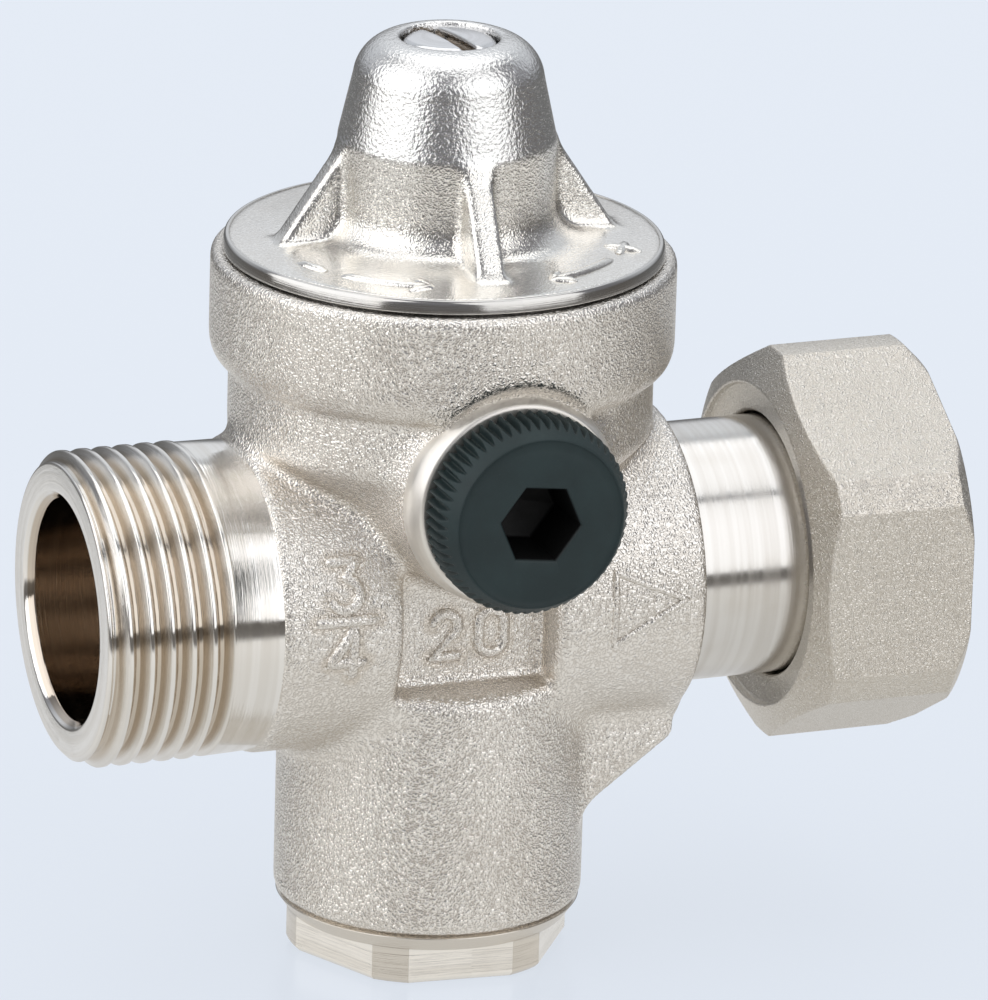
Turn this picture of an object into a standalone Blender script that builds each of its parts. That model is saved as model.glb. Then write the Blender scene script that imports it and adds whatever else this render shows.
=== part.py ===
"""Piston type pressure reducing valve for a 3/4 inch water pipe, in metres, +Z up.

The origin is the centre of the bottom plug's underside. The inlet points to -X, the outlet with its
swivel nut to +X, the gauge port to -Y. Every rise is measured from the pipe axis, which lies
PIPE_HEIGHT above the origin.
"""

import math

import bmesh
import bpy
from mathutils import Matrix, Vector

# Fits between pieces
FIT_GAP = 0.0002
SLIDE_GAP = 0.0003
SEAL_GAP = 0.00015

# Facets of a full turn, and how arcs and edges are drawn
LARGE_TURN = 40
MIDDLE_TURN = 28
SMALL_TURN = 20
RING_TURN = 22
RING_SIDES = 6
ARC_FACET = 0.0007
ARC_SHARE = 0.49
SHARP_ANGLE = math.radians(32)

# Pipe threads and ways
PIPE_THREAD_RADIUS = 0.01322
PIPE_THREAD_DEPTH = 0.00116
PIPE_THREAD_LENGTH = 0.0111
THREAD_LEAD = 0.0010
INLET_REACH = 0.0330
INLET_BORE = 0.0092
MOUTH_CHAMFER = 0.0010
COLLAR_RADIUS = 0.0130
COLLAR_LENGTH = 0.0038
PORT_RADIUS = 0.0042
PORT_RISE = 0.0047
PORT_REACH = 0.0140

# Cast body
BOSS_RADIUS = 0.0133
BOSS_ROUND = 0.0010
EDGE_ROUND = 0.0005
OUTLET_REACH = 0.0184
BARREL_RADIUS = 0.0130
BARREL_DROP = 0.0276
BARREL_ROUND = 0.0006
CONE_LOW_RISE = 0.0087
NECK_RADIUS = 0.0177
NECK_LOW_RISE = 0.0137
NECK_TOP_RISE = 0.0174
RING_RADIUS = 0.01936
RING_LOW_RISE = 0.0205
RING_TOP_RISE = 0.0284
RING_ROUND = 0.0007
CAST_FILLET = 0.0016
WEB_WIDTH = 0.0148
WEB_TOP_DROP = 0.0137
WEB_FOOT_DROP = 0.0199
WEB_INSET = 0.0003
WEB_ROOT_DEPTH = 0.0037
POCKET_LEFT = 0.0073
POCKET_RIGHT = 0.0060
POCKET_FLOOR = 0.0097
LEDGE_DROP = 0.0061
LEDGE_FALL = 0.0012
POCKET_TOP_RISE = 0.0065

# Chambers inside the body
BASE_BORE = 0.0106
BASE_BORE_DEPTH = 0.0078
LOWER_CHAMBER = 0.0094
LOWER_CHAMBER_TOP = 0.0104
SEAT_CHAMBER = 0.0072
SEAT_WALL = 0.0044
SEAT_HOLE = 0.0064
OUTLET_CHAMBER = 0.0074
PISTON_BORE = 0.0126
PISTON_BORE_DEPTH = 0.0058
BONNET_BORE = 0.0165
BONNET_BORE_DEPTH = 0.0050
BLIND_WALL = 0.0022
TAIL_WAY = 0.0008

# Gauge port and its plug
GAUGE_RISE = 0.0122
GAUGE_BOSS_RADIUS = 0.0090
GAUGE_BOSS_TAPER = 0.0006
GAUGE_FACE = 0.0190
GAUGE_RELIEF = 0.0003
GAUGE_THREAD_RADIUS = 0.00658
GAUGE_THREAD_DEPTH = 0.0049
GAUGE_RECESS_STEP = 0.00092
GAUGE_RECESS_DEPTH = 0.0022
GAUGE_TAP_RADIUS = 0.0016
PLUG_HEAD_RADIUS = 0.0084
PLUG_HEAD_HEIGHT = 0.0047
PLUG_BEVEL = 0.0020
PLUG_BEVEL_WIDTH = 0.00125
PLUG_NECK_STEP = 0.00098
KNURL_TEETH = 72
KNURL_DEPTH = 0.0003
HEX_KEY = 0.0060
HEX_KEY_DEPTH = 0.0062
HEX_KEY_TURN = math.radians(-7)

# Bonnet
BONNET_RIM_RADIUS = 0.0184
BONNET_RIM_HEIGHT = 0.0011
FLANGE_HEIGHT = 0.0019
FLANGE_EDGE_RADIUS = 0.0167
FLANGE_SLOPE = 0.00055
DOME_FILLET = 0.0026
DOME_CONE_HEIGHT = 0.0099
DOME_TAPER = 0.0013
DOME_HEIGHT = 0.0185
DOME_ROUND = 0.0022
DOME_WALL = 0.0025
DOME_CROWN = 0.0045
SKIRT_DEPTH = 0.0041
SKIRT_WALL = 0.0026
RIB_COUNT = 4
RIB_HEIGHT = 0.0096
RIB_FOOT_RADIUS = 0.0143
RIB_WIDTH = 0.0023
RIB_TURN = math.radians(-94.5)
BONNET_GASKET_THICK = 0.0006

# Adjusting screw, spring plate and setting spring
SCREW_RADIUS = 0.0039
SCREW_GAP = 0.00026
SCREW_SINK = 0.0002
SCREW_CROWN = 0.0005
SCREW_CROWN_WIDTH = 0.0009
SCREW_DOME = 0.00025
SCREW_TIP_WIDTH = 0.0017
SCREW_SLOT_WIDTH = 0.0013
SCREW_SLOT_DEPTH = 0.0016
SCREW_SLOT_TURN = math.radians(99.5)
PLATE_DROP = 0.0022
PLATE_GAP = 0.0005
PLATE_THICK = 0.0018
PLATE_SPIGOT_LENGTH = 0.0018
SPRING_RADIUS = 0.0050
WIRE_RADIUS = 0.0009
SPRING_GAP = 0.0007
SPRING_PITCH = 0.0026
COIL_GAP = 0.0005
END_COIL_GAP = 0.0006
CURL_POINTS = 16

# Piston, stem and disc
PISTON_HEIGHT = 0.0055
PISTON_RING_SECTION = 0.00085
PISTON_BAND_WIDTH = 0.0012
PISTON_BAND_THICK = 0.0006
PISTON_CUP_DEPTH = 0.0026
PISTON_STROKE = 0.0025
STEM_RADIUS = 0.0024
STEM_END_RADIUS = 0.0020
STEM_COLLAR_RADIUS = 0.0034
STEM_COLLAR_HEIGHT = 0.0010
STEM_NUT_FLATS = 0.0060
STEM_NUT_HEIGHT = 0.0026
SEAT_RING_HOLE = 0.0044
SEAT_FLANGE_HEIGHT = 0.0007
SEAT_RING_SECTION = 0.0005
HOLDER_GAP = 0.0005
DISC_THICK = 0.0020
DISC_HOLDER_WALL = 0.0007
DISC_HOLDER_FLOOR = 0.0014
DISC_PROUD = 0.0005

# Bottom plug
PLUG_COLLAR_TOP_RADIUS = 0.0128
PLUG_COLLAR_LOW_RADIUS = 0.0120
PLUG_COLLAR_HEIGHT = 0.0013
PLUG_HEX_FLATS = 0.0220
PLUG_HEX_CORNER = 0.0119
PLUG_HEX_HEIGHT = 0.0032
PLUG_HEX_TURN = math.radians(55)
PLUG_EDGE = 0.0004
PLUG_SPIGOT_LENGTH = 0.0070
PLUG_SPIGOT_BORE = 0.0072
PLUG_FLOOR = 0.0036
PLUG_RING_SECTION = 0.0007
GUIDE_RADIUS = 0.0042
GUIDE_TOP_DROP = 0.0200
GUIDE_RING_SECTION = 0.0005

# Outlet tail, swivel nut and gasket
TAIL_COLLAR_GAP = 0.00026
TAIL_COLLAR_STEP = 0.00083
TAIL_COLLAR_WIDTH = 0.0025
TAIL_WALL = 0.00297
TAIL_INSERT = 0.0060
TAIL_END = 0.0343
TAIL_RING_SECTION = 0.0006
TAIL_RING_DEPTH = 0.0036
NUT_LIP_LENGTH = 0.0030
NUT_LENGTH = 0.0138
NUT_FLATS = 0.0310
NUT_CORNER = 0.0171
NUT_FACE_RADIUS = 0.0139
NUT_FACE_CHAMFER = 0.0017
NUT_BACK_CHAMFER = 0.0011
NUT_BACK_RADIUS = 0.0160
NUT_LIP_WIDTH = 0.00024
NUT_RECESS_DEPTH = 0.0006
GASKET_THICK = 0.0019
GASKET_STEP = 0.0003
OVERCUT = 0.0020

# What follows: the body
PIPE_HEIGHT = BARREL_DROP + FIT_GAP + PLUG_COLLAR_HEIGHT + PLUG_HEX_HEIGHT
PIPE_THREAD_CORE = PIPE_THREAD_RADIUS - PIPE_THREAD_DEPTH
BOSS_END = INLET_REACH - PIPE_THREAD_LENGTH - COLLAR_LENGTH
SEAT_TOP = SEAT_WALL / 2
BONNET_SHOULDER_RISE = RING_TOP_RISE - BONNET_BORE_DEPTH
PISTON_FLOOR_RISE = BONNET_SHOULDER_RISE - PISTON_BORE_DEPTH
GAUGE_RECESS_RADIUS = GAUGE_THREAD_RADIUS + GAUGE_RECESS_STEP
PLUG_NECK_RADIUS = GAUGE_THREAD_RADIUS - PLUG_NECK_STEP
PLUG_TOP = -BARREL_DROP - FIT_GAP

# What follows: the tail and its nut
TAIL_COLLAR_RADIUS = PIPE_THREAD_CORE - TAIL_COLLAR_GAP
TAIL_RADIUS = TAIL_COLLAR_RADIUS - TAIL_COLLAR_STEP
TAIL_BORE = TAIL_RADIUS - TAIL_WALL
TAIL_SOCKET = TAIL_RADIUS + FIT_GAP
TAIL_START = OUTLET_REACH - TAIL_INSERT
TAIL_RING_PLACE = TAIL_START + TAIL_RING_DEPTH
LIP_INNER = TAIL_END - TAIL_COLLAR_WIDTH - SLIDE_GAP
NUT_START = LIP_INNER - NUT_LIP_LENGTH
NUT_END = NUT_START + NUT_LENGTH

# What follows: the bonnet, the screw and the spring
BONNET_FLANGE_RISE = RING_TOP_RISE + FLANGE_HEIGHT
DOME_CONE_RISE = RING_TOP_RISE + DOME_CONE_HEIGHT
DOME_TOP_RISE = RING_TOP_RISE + DOME_HEIGHT
DOME_CEILING_RISE = DOME_TOP_RISE - DOME_CROWN
RIB_TOP_RISE = RING_TOP_RISE + RIB_HEIGHT
SPRING_OUTER = SPRING_RADIUS + WIRE_RADIUS
SPRING_INNER = SPRING_RADIUS - WIRE_RADIUS
DOME_BORE = SPRING_OUTER + SPRING_GAP
DOME_RADIUS = DOME_BORE + DOME_WALL
SCREW_HOLE = SCREW_RADIUS + SCREW_GAP
SCREW_TOP_RISE = DOME_TOP_RISE - SCREW_SINK
PLATE_RADIUS = DOME_BORE - PLATE_GAP
PLATE_TOP = DOME_CEILING_RISE - PLATE_DROP
PLATE_LOW = PLATE_TOP - PLATE_THICK
SCREW_LOW = PLATE_TOP + FIT_GAP

# What follows: the piston, the stem and the disc
PISTON_RADIUS = PISTON_BORE - SLIDE_GAP
PISTON_LOW = PISTON_FLOOR_RISE + SLIDE_GAP
PISTON_TOP = PISTON_LOW + PISTON_HEIGHT
CUP_FLOOR = PISTON_TOP - PISTON_CUP_DEPTH
SEAT_LIP = -SEAT_TOP - FIT_GAP - SEAT_FLANGE_HEIGHT
DISC_TOP = SEAT_LIP - PISTON_STROKE - FIT_GAP
DISC_LOW = DISC_TOP - DISC_THICK
HOLDER_RADIUS = SEAT_CHAMBER - HOLDER_GAP
DISC_RADIUS = HOLDER_RADIUS - DISC_HOLDER_WALL - FIT_GAP
HOLDER_LOW = DISC_LOW - FIT_GAP - DISC_HOLDER_FLOOR

TO_OUTLET = Matrix.Rotation(math.radians(90), 4, "Y")
TO_INLET = Matrix.Rotation(math.radians(-90), 4, "Y")
TO_GAUGE = Matrix.Rotation(math.radians(90), 4, "X")
UPRIGHT = Matrix.Identity(4)


def clear_scene():
    for obj in list(bpy.data.objects):
        bpy.data.objects.remove(obj, do_unlink=True)


def principled(name, colour, roughness, metallic):
    made = bpy.data.materials.new(name)
    made.use_nodes = True
    made.diffuse_color = (*colour, 1.0)
    shader = made.node_tree.nodes["Principled BSDF"]
    shader.inputs["Base Color"].default_value = (*colour, 1.0)
    shader.inputs["Roughness"].default_value = roughness
    shader.inputs["Metallic"].default_value = metallic
    return made


def rounded(corners):
    """The closed outline of (x, y) or (x, y, radius) corners, each radius turned into an arc."""
    outline = []
    for index, corner in enumerate(corners):
        here = Vector(corner[:2])
        radius = corner[2] if len(corner) > 2 else 0.0
        if not radius:
            outline.append(tuple(here))
            continue
        before = Vector(corners[index - 1][:2]) - here
        after = Vector(corners[(index + 1) % len(corners)][:2]) - here
        half = before.angle(after) / 2
        reach = min(radius / math.tan(half), ARC_SHARE * before.length, ARC_SHARE * after.length)
        radius = reach * math.tan(half)
        before.normalize()
        after.normalize()
        centre = here + (before + after).normalized() * (radius / math.sin(half))
        steps = max(1, round(radius / ARC_FACET))
        first = here + before * reach - centre
        sweep = first.angle_signed(here + after * reach - centre)
        for step in range(steps + 1):
            turn = Matrix.Rotation(-sweep * step / steps, 2)
            outline.append(tuple(centre + turn @ first))
    return outline


def mesh_from(bm, name):
    bmesh.ops.recalc_face_normals(bm, faces=bm.faces)
    mesh = bpy.data.meshes.new(name)
    bm.to_mesh(mesh)
    bm.free()
    mesh.shade_smooth()
    mesh.set_sharp_from_angle(angle=SHARP_ANGLE)
    return mesh


def turned(name, outline, turn_steps, phase=0.0):
    """Revolves a closed outline of (radius, height) points about local Z, from phase facets on."""
    bm = bmesh.new()
    rings = []
    for radius, height in outline:
        if radius < 1e-7:
            rings.append([bm.verts.new((0, 0, height))] * turn_steps)
            continue
        angles = (2 * math.pi * (step + phase) / turn_steps for step in range(turn_steps))
        rings.append([bm.verts.new((radius * math.cos(a), radius * math.sin(a), height)) for a in angles])
    for ring, following in zip(rings, rings[1:] + rings[:1]):
        for step in range(turn_steps):
            after = (step + 1) % turn_steps
            face = (ring[step], ring[after], following[after], following[step])
            corners = list(dict.fromkeys(face))
            if len(corners) > 2:
                bm.faces.new(corners)
    return mesh_from(bm, name)


def prism(name, outline, low, high):
    """Extrudes a closed (x, y) outline along local Z."""
    bm = bmesh.new()
    bottom = [bm.verts.new((x, y, low)) for x, y in outline]
    top = [bm.verts.new((x, y, high)) for x, y in outline]
    bm.faces.new(bottom)
    bm.faces.new(top)
    for index in range(len(outline)):
        after = (index + 1) % len(outline)
        bm.faces.new((bottom[index], bottom[after], top[after], top[index]))
    return mesh_from(bm, name)


def hexagon(flats, turn=0.0):
    corner = flats / math.sqrt(3)
    angles = (turn + math.radians(60 * side) for side in range(6))
    return [(corner * math.cos(a), corner * math.sin(a)) for a in angles]


def tube_ring(radius, section, middle):
    """The outline of an O-ring: a circle of the section's radius, at this mean radius and height."""
    angles = (2 * math.pi * step / RING_SIDES for step in range(RING_SIDES))
    return [(radius + section * math.cos(a), middle + section * math.sin(a)) for a in angles]


def place(mesh, finish=None, facing=UPRIGHT, rise=0.0):
    """Puts a mesh on the pipe-axis empty as a piece or, with no finish, as a hidden helper."""
    obj = bpy.data.objects.new(mesh.name, mesh)
    bpy.context.scene.collection.objects.link(obj)
    obj.parent = pipe_axis
    obj.matrix_basis = Matrix.Translation((0, 0, rise)) @ facing
    if finish:
        mesh.materials.append(finish)
    else:
        obj.hide_render = True
        obj.display_type = "WIRE"
    return obj


def combine(obj, helper, operation):
    boolean = obj.modifiers.new(helper.name, "BOOLEAN")
    boolean.operation = operation
    boolean.solver = "EXACT"
    boolean.object = helper


def groove(outer, depth_radius, low, high):
    """The four outline points of a groove cut into an outer wall, from low to high."""
    return [(outer, low), (depth_radius, low), (depth_radius, high), (outer, high)]


def ring_seat(bore, section):
    """The groove's radius and the O-ring's mean radius for a ring that seals in this bore."""
    mean = bore - SEAL_GAP - section
    return mean - section - SEAL_GAP, mean


def body_core():
    return rounded([
        (0, -BARREL_DROP),
        (BARREL_RADIUS, -BARREL_DROP, BARREL_ROUND),
        (BARREL_RADIUS, CONE_LOW_RISE, CAST_FILLET),
        (NECK_RADIUS, NECK_LOW_RISE, CAST_FILLET),
        (NECK_RADIUS, NECK_TOP_RISE, CAST_FILLET),
        (RING_RADIUS, RING_LOW_RISE, CAST_FILLET),
        (RING_RADIUS, RING_TOP_RISE, RING_ROUND),
        (0, RING_TOP_RISE),
    ])


def pipe_run():
    """The inlet and outlet bosses in one turning: heights run from the outlet to the inlet."""
    thread_start = INLET_REACH - PIPE_THREAD_LENGTH
    return rounded([
        (0, -OUTLET_REACH),
        (BOSS_RADIUS, -OUTLET_REACH, BOSS_ROUND),
        (BOSS_RADIUS, BOSS_END, EDGE_ROUND),
        (COLLAR_RADIUS, BOSS_END),
        (COLLAR_RADIUS, thread_start),
        (PIPE_THREAD_RADIUS, thread_start),
        (PIPE_THREAD_RADIUS, INLET_REACH - THREAD_LEAD),
        (PIPE_THREAD_RADIUS - THREAD_LEAD, INLET_REACH),
        (0, INLET_REACH),
    ])


def gauge_boss():
    root = GAUGE_BOSS_RADIUS + GAUGE_BOSS_TAPER
    return rounded([
        (0, 0),
        (root, 0),
        (root, POCKET_FLOOR),
        (GAUGE_BOSS_RADIUS, GAUGE_FACE, EDGE_ROUND),
        (0, GAUGE_FACE),
    ])


def web_outline():
    """The stiffening web under the outlet boss, as (x, rise) points."""
    tip = OUTLET_REACH - WEB_INSET
    foot = math.sqrt(BARREL_RADIUS**2 - (WEB_WIDTH / 2) ** 2)
    slope = (WEB_FOOT_DROP - WEB_TOP_DROP) / (tip - foot)
    root = foot - WEB_ROOT_DEPTH
    root_drop = WEB_FOOT_DROP + slope * (foot - root)
    return [(0, -BOSS_ROUND), (tip, -BOSS_ROUND), (tip, -WEB_TOP_DROP), (root, -root_drop), (0, -root_drop)]


def pocket_outline():
    """The cast pocket between the bosses, as (y, rise) points, with a ledge that falls to the front."""
    front = -BARREL_RADIUS - OVERCUT
    return [
        (-POCKET_FLOOR, -LEDGE_DROP),
        (-POCKET_FLOOR, POCKET_TOP_RISE),
        (front, POCKET_TOP_RISE),
        (front, -LEDGE_DROP - LEDGE_FALL),
    ]


def upright_cavity():
    """The stepped bore from the bottom plug's thread up through the seat to the bonnet's thread."""
    base_top = -BARREL_DROP + BASE_BORE_DEPTH
    chamber_shoulder = LOWER_CHAMBER - SEAT_CHAMBER
    return [
        (0, -BARREL_DROP - OVERCUT),
        (BASE_BORE, -BARREL_DROP - OVERCUT),
        (BASE_BORE, base_top),
        (LOWER_CHAMBER, base_top),
        (LOWER_CHAMBER, -LOWER_CHAMBER_TOP - chamber_shoulder / 2),
        (SEAT_CHAMBER, -LOWER_CHAMBER_TOP),
        (SEAT_CHAMBER, -SEAT_TOP),
        (SEAT_HOLE, -SEAT_TOP),
        (SEAT_HOLE, SEAT_TOP),
        (OUTLET_CHAMBER, SEAT_TOP),
        (OUTLET_CHAMBER, PISTON_FLOOR_RISE),
        (PISTON_BORE, PISTON_FLOOR_RISE),
        (PISTON_BORE, BONNET_SHOULDER_RISE),
        (BONNET_BORE, BONNET_SHOULDER_RISE),
        (BONNET_BORE, RING_TOP_RISE + OVERCUT),
        (0, RING_TOP_RISE + OVERCUT),
    ]


def inlet_bore():
    mouth = INLET_BORE + MOUTH_CHAMFER
    return [
        (0, OUTLET_CHAMBER + BLIND_WALL),
        (INLET_BORE, OUTLET_CHAMBER + BLIND_WALL),
        (INLET_BORE, INLET_REACH - MOUTH_CHAMFER),
        (mouth, INLET_REACH),
        (mouth, INLET_REACH + OVERCUT),
        (0, INLET_REACH + OVERCUT),
    ]


def outlet_socket():
    way_start = TAIL_START - TAIL_WAY
    return [
        (0, way_start),
        (TAIL_BORE, way_start),
        (TAIL_BORE, TAIL_START),
        (TAIL_SOCKET, TAIL_START),
        (TAIL_SOCKET, OUTLET_REACH + OVERCUT),
        (0, OUTLET_REACH + OVERCUT),
    ]


def gauge_port():
    thread_bottom = GAUGE_FACE - GAUGE_THREAD_DEPTH
    recess_bottom = GAUGE_FACE - GAUGE_RECESS_DEPTH
    relief = PLUG_HEAD_RADIUS + GAUGE_RELIEF
    relief_start = GAUGE_FACE + FIT_GAP / 2
    return [
        (0, 0),
        (GAUGE_TAP_RADIUS, 0),
        (GAUGE_TAP_RADIUS, thread_bottom),
        (GAUGE_THREAD_RADIUS, thread_bottom),
        (GAUGE_THREAD_RADIUS, recess_bottom),
        (GAUGE_RECESS_RADIUS, recess_bottom),
        (GAUGE_RECESS_RADIUS, relief_start),
        (relief, relief_start),
        (relief, GAUGE_FACE + PLUG_HEAD_HEIGHT),
        (0, GAUGE_FACE + PLUG_HEAD_HEIGHT),
    ]


def cylinder(name, radius, low, high):
    return turned(name, [(0, low), (radius, low), (radius, high), (0, high)], SMALL_TURN, 0.5)


def make_body(brass):
    body = place(turned("valve_body", body_core(), LARGE_TURN), brass)
    half_web = WEB_WIDTH / 2
    on_edge = Matrix.Rotation(math.radians(90), 4, "X")
    across = Matrix(((0, 0, 1, 0), (1, 0, 0, 0), (0, 1, 0, 0), (0, 0, 0, 1)))
    combine(body, place(turned("pipe_run", pipe_run(), LARGE_TURN, 0.5), facing=TO_INLET), "UNION")
    web = prism("web", web_outline(), -half_web, half_web)
    combine(body, place(web, facing=on_edge), "UNION")
    pocket = prism("pocket", pocket_outline(), -POCKET_LEFT, POCKET_RIGHT)
    combine(body, place(pocket, facing=across), "DIFFERENCE")
    boss = turned("gauge_boss", gauge_boss(), MIDDLE_TURN, 0.5)
    combine(body, place(boss, facing=TO_GAUGE, rise=GAUGE_RISE), "UNION")
    cavity = turned("upright_cavity", upright_cavity(), MIDDLE_TURN)
    combine(body, place(cavity), "DIFFERENCE")
    bore = turned("inlet_bore", inlet_bore(), MIDDLE_TURN, 0.5)
    combine(body, place(bore, facing=TO_INLET), "DIFFERENCE")
    socket = turned("outlet_socket", outlet_socket(), MIDDLE_TURN, 0.5)
    combine(body, place(socket, facing=TO_OUTLET), "DIFFERENCE")
    port = turned("gauge_port", gauge_port(), MIDDLE_TURN, 0.5)
    combine(body, place(port, facing=TO_GAUGE, rise=GAUGE_RISE), "DIFFERENCE")
    inlet_port = cylinder("inlet_port", PORT_RADIUS, 0, PORT_REACH)
    combine(body, place(inlet_port, facing=TO_INLET, rise=-PORT_RISE), "DIFFERENCE")
    outlet_port = cylinder("outlet_port", PORT_RADIUS, 0, PORT_REACH)
    combine(body, place(outlet_port, facing=TO_OUTLET, rise=PORT_RISE), "DIFFERENCE")


def bonnet_outline():
    flange_low = RING_TOP_RISE + FIT_GAP
    skirt_radius = BONNET_BORE - FIT_GAP
    rim_top = flange_low + BONNET_RIM_HEIGHT
    return rounded([
        (DOME_BORE, RING_TOP_RISE),
        (skirt_radius - SKIRT_WALL, RING_TOP_RISE),
        (skirt_radius - SKIRT_WALL, flange_low - SKIRT_DEPTH),
        (skirt_radius, flange_low - SKIRT_DEPTH),
        (skirt_radius, flange_low),
        (BONNET_RIM_RADIUS, flange_low),
        (BONNET_RIM_RADIUS, rim_top),
        (FLANGE_EDGE_RADIUS, rim_top),
        (FLANGE_EDGE_RADIUS - FLANGE_SLOPE, BONNET_FLANGE_RISE),
        (DOME_RADIUS, BONNET_FLANGE_RISE, DOME_FILLET),
        (DOME_RADIUS, DOME_CONE_RISE, DOME_FILLET),
        (DOME_RADIUS - DOME_TAPER, DOME_TOP_RISE, DOME_ROUND),
        (SCREW_HOLE, DOME_TOP_RISE),
        (SCREW_HOLE, DOME_CEILING_RISE),
        (DOME_BORE, DOME_CEILING_RISE),
    ])


def rib_outline():
    """One triangular rib between flange and dome, as (radius, rise) points."""
    root = DOME_RADIUS - DOME_WALL / 2
    foot_rise = (RING_TOP_RISE + BONNET_FLANGE_RISE) / 2
    return [
        (root, foot_rise),
        (RIB_FOOT_RADIUS, foot_rise),
        (RIB_FOOT_RADIUS, BONNET_FLANGE_RISE),
        (DOME_RADIUS, RIB_TOP_RISE),
        (root, RIB_TOP_RISE),
    ]


def make_bonnet(nickel, rubber):
    bonnet = place(turned("bonnet", bonnet_outline(), LARGE_TURN), nickel)
    upright = Matrix.Rotation(math.radians(90), 4, "X")
    for index in range(RIB_COUNT):
        turn = Matrix.Rotation(RIB_TURN + 2 * math.pi * index / RIB_COUNT, 4, "Z")
        rib = prism(f"rib_{index + 1}", rib_outline(), -RIB_WIDTH / 2, RIB_WIDTH / 2)
        combine(bonnet, place(rib, facing=turn @ upright), "UNION")
    skirt_low = RING_TOP_RISE + FIT_GAP - SKIRT_DEPTH
    low = max(BONNET_SHOULDER_RISE + FIT_GAP, skirt_low - FIT_GAP - BONNET_GASKET_THICK)
    outer = BONNET_BORE - FIT_GAP
    inner = outer - SKIRT_WALL
    gasket = [(inner, low), (outer, low), (outer, skirt_low - FIT_GAP), (inner, skirt_low - FIT_GAP)]
    place(turned("bonnet_gasket", gasket, MIDDLE_TURN), rubber)


def make_screw(steel):
    crown_edge = SCREW_TOP_RISE - SCREW_LOW
    outline = rounded([
        (0, 0),
        (SCREW_RADIUS - SCREW_TIP_WIDTH, 0),
        (SCREW_RADIUS, SCREW_TIP_WIDTH),
        (SCREW_RADIUS, crown_edge - SCREW_CROWN),
        (SCREW_RADIUS - SCREW_CROWN_WIDTH, crown_edge, EDGE_ROUND),
        (0, crown_edge + SCREW_DOME),
    ])
    screw = place(turned("adjusting_screw", outline, SMALL_TURN), steel, rise=SCREW_LOW)
    half = SCREW_SLOT_WIDTH / 2
    reach = SCREW_RADIUS + OVERCUT
    slot = prism(
        "screw_slot",
        [(-reach, -half), (reach, -half), (reach, half), (-reach, half)],
        crown_edge - SCREW_SLOT_DEPTH,
        crown_edge + OVERCUT,
    )
    turn = Matrix.Rotation(SCREW_SLOT_TURN, 4, "Z")
    combine(screw, place(slot, facing=turn, rise=SCREW_LOW), "DIFFERENCE")


def make_plate(steel):
    spigot = SPRING_INNER - COIL_GAP
    outline = [
        (0, -PLATE_SPIGOT_LENGTH),
        (spigot, -PLATE_SPIGOT_LENGTH),
        (spigot, 0),
        (PLATE_RADIUS, 0),
        (PLATE_RADIUS, PLATE_THICK),
        (0, PLATE_THICK),
    ]
    place(turned("spring_plate", outline, SMALL_TURN), steel, rise=PLATE_LOW)


def spring_points(length):
    """A compression spring's centre line from its lower to its upper end, with close end coils."""
    end_pitch = 2 * WIRE_RADIUS + END_COIL_GAP
    free_length = length - 2 * end_pitch
    free_turns = max(1, math.floor(free_length / SPRING_PITCH))
    free_pitch = free_length / free_turns
    turns = free_turns + 2
    points = []
    height = 0.0
    for step in range(turns * CURL_POINTS + 1):
        turn = step / CURL_POINTS
        angle = 2 * math.pi * turn
        points.append(Vector((SPRING_RADIUS * math.cos(angle), SPRING_RADIUS * math.sin(angle), height)))
        close = turn < 1 or turn >= turns - 1
        height += (end_pitch if close else free_pitch) / CURL_POINTS
    return points


def least_gap(points):
    """The smallest clear space between two turns of the wire."""
    apart = CURL_POINTS // 2
    near = min(
        (first - second).length
        for index, first in enumerate(points)
        for second in points[index + apart:]
    )
    return near - 2 * WIRE_RADIUS


def make_spring(steel):
    low = CUP_FLOOR + FIT_GAP + WIRE_RADIUS
    high = PLATE_LOW - FIT_GAP - WIRE_RADIUS
    points = spring_points(high - low)
    print(f"setting spring: least gap between turns {least_gap(points) * 1000:.2f} mm")
    curve = bpy.data.curves.new("setting_spring", "CURVE")
    curve.dimensions = "3D"
    curve.bevel_depth = WIRE_RADIUS
    curve.bevel_resolution = 1
    curve.use_fill_caps = True
    wire = curve.splines.new("POLY")
    wire.points.add(len(points) - 1)
    for point, where in zip(wire.points, points):
        point.co = (*where, 1.0)
    place(curve, steel, rise=low)


def make_piston(brass, rubber, slick):
    seal_groove, seal_mean = ring_seat(PISTON_BORE, PISTON_RING_SECTION)
    seal_half = PISTON_RING_SECTION + SEAL_GAP
    seal_middle = PISTON_HEIGHT - seal_half - PISTON_RING_SECTION
    band_low = PISTON_RING_SECTION
    band_high = band_low + PISTON_BAND_WIDTH
    band_outer = PISTON_BORE - SEAL_GAP
    band_inner = band_outer - PISTON_BAND_THICK
    stem_hole = STEM_END_RADIUS + FIT_GAP
    cup_radius = SPRING_OUTER + COIL_GAP
    cup_floor = PISTON_HEIGHT - PISTON_CUP_DEPTH
    outline = [(stem_hole, 0), (PISTON_RADIUS, 0)]
    outline += groove(PISTON_RADIUS, band_inner - SEAL_GAP, band_low - SEAL_GAP, band_high + SEAL_GAP)
    outline += groove(PISTON_RADIUS, seal_groove, seal_middle - seal_half, seal_middle + seal_half)
    outline += [(PISTON_RADIUS, PISTON_HEIGHT), (cup_radius, PISTON_HEIGHT)]
    outline += [(cup_radius, cup_floor), (stem_hole, cup_floor)]
    place(turned("piston", outline, MIDDLE_TURN), brass, rise=PISTON_LOW)
    ring = tube_ring(seal_mean, PISTON_RING_SECTION, seal_middle)
    place(turned("piston_oring", ring, RING_TURN), rubber, rise=PISTON_LOW)
    band = [(band_inner, band_low), (band_outer, band_low), (band_outer, band_high), (band_inner, band_high)]
    place(turned("piston_guide_ring", band, MIDDLE_TURN), slick, rise=PISTON_LOW)


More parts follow.
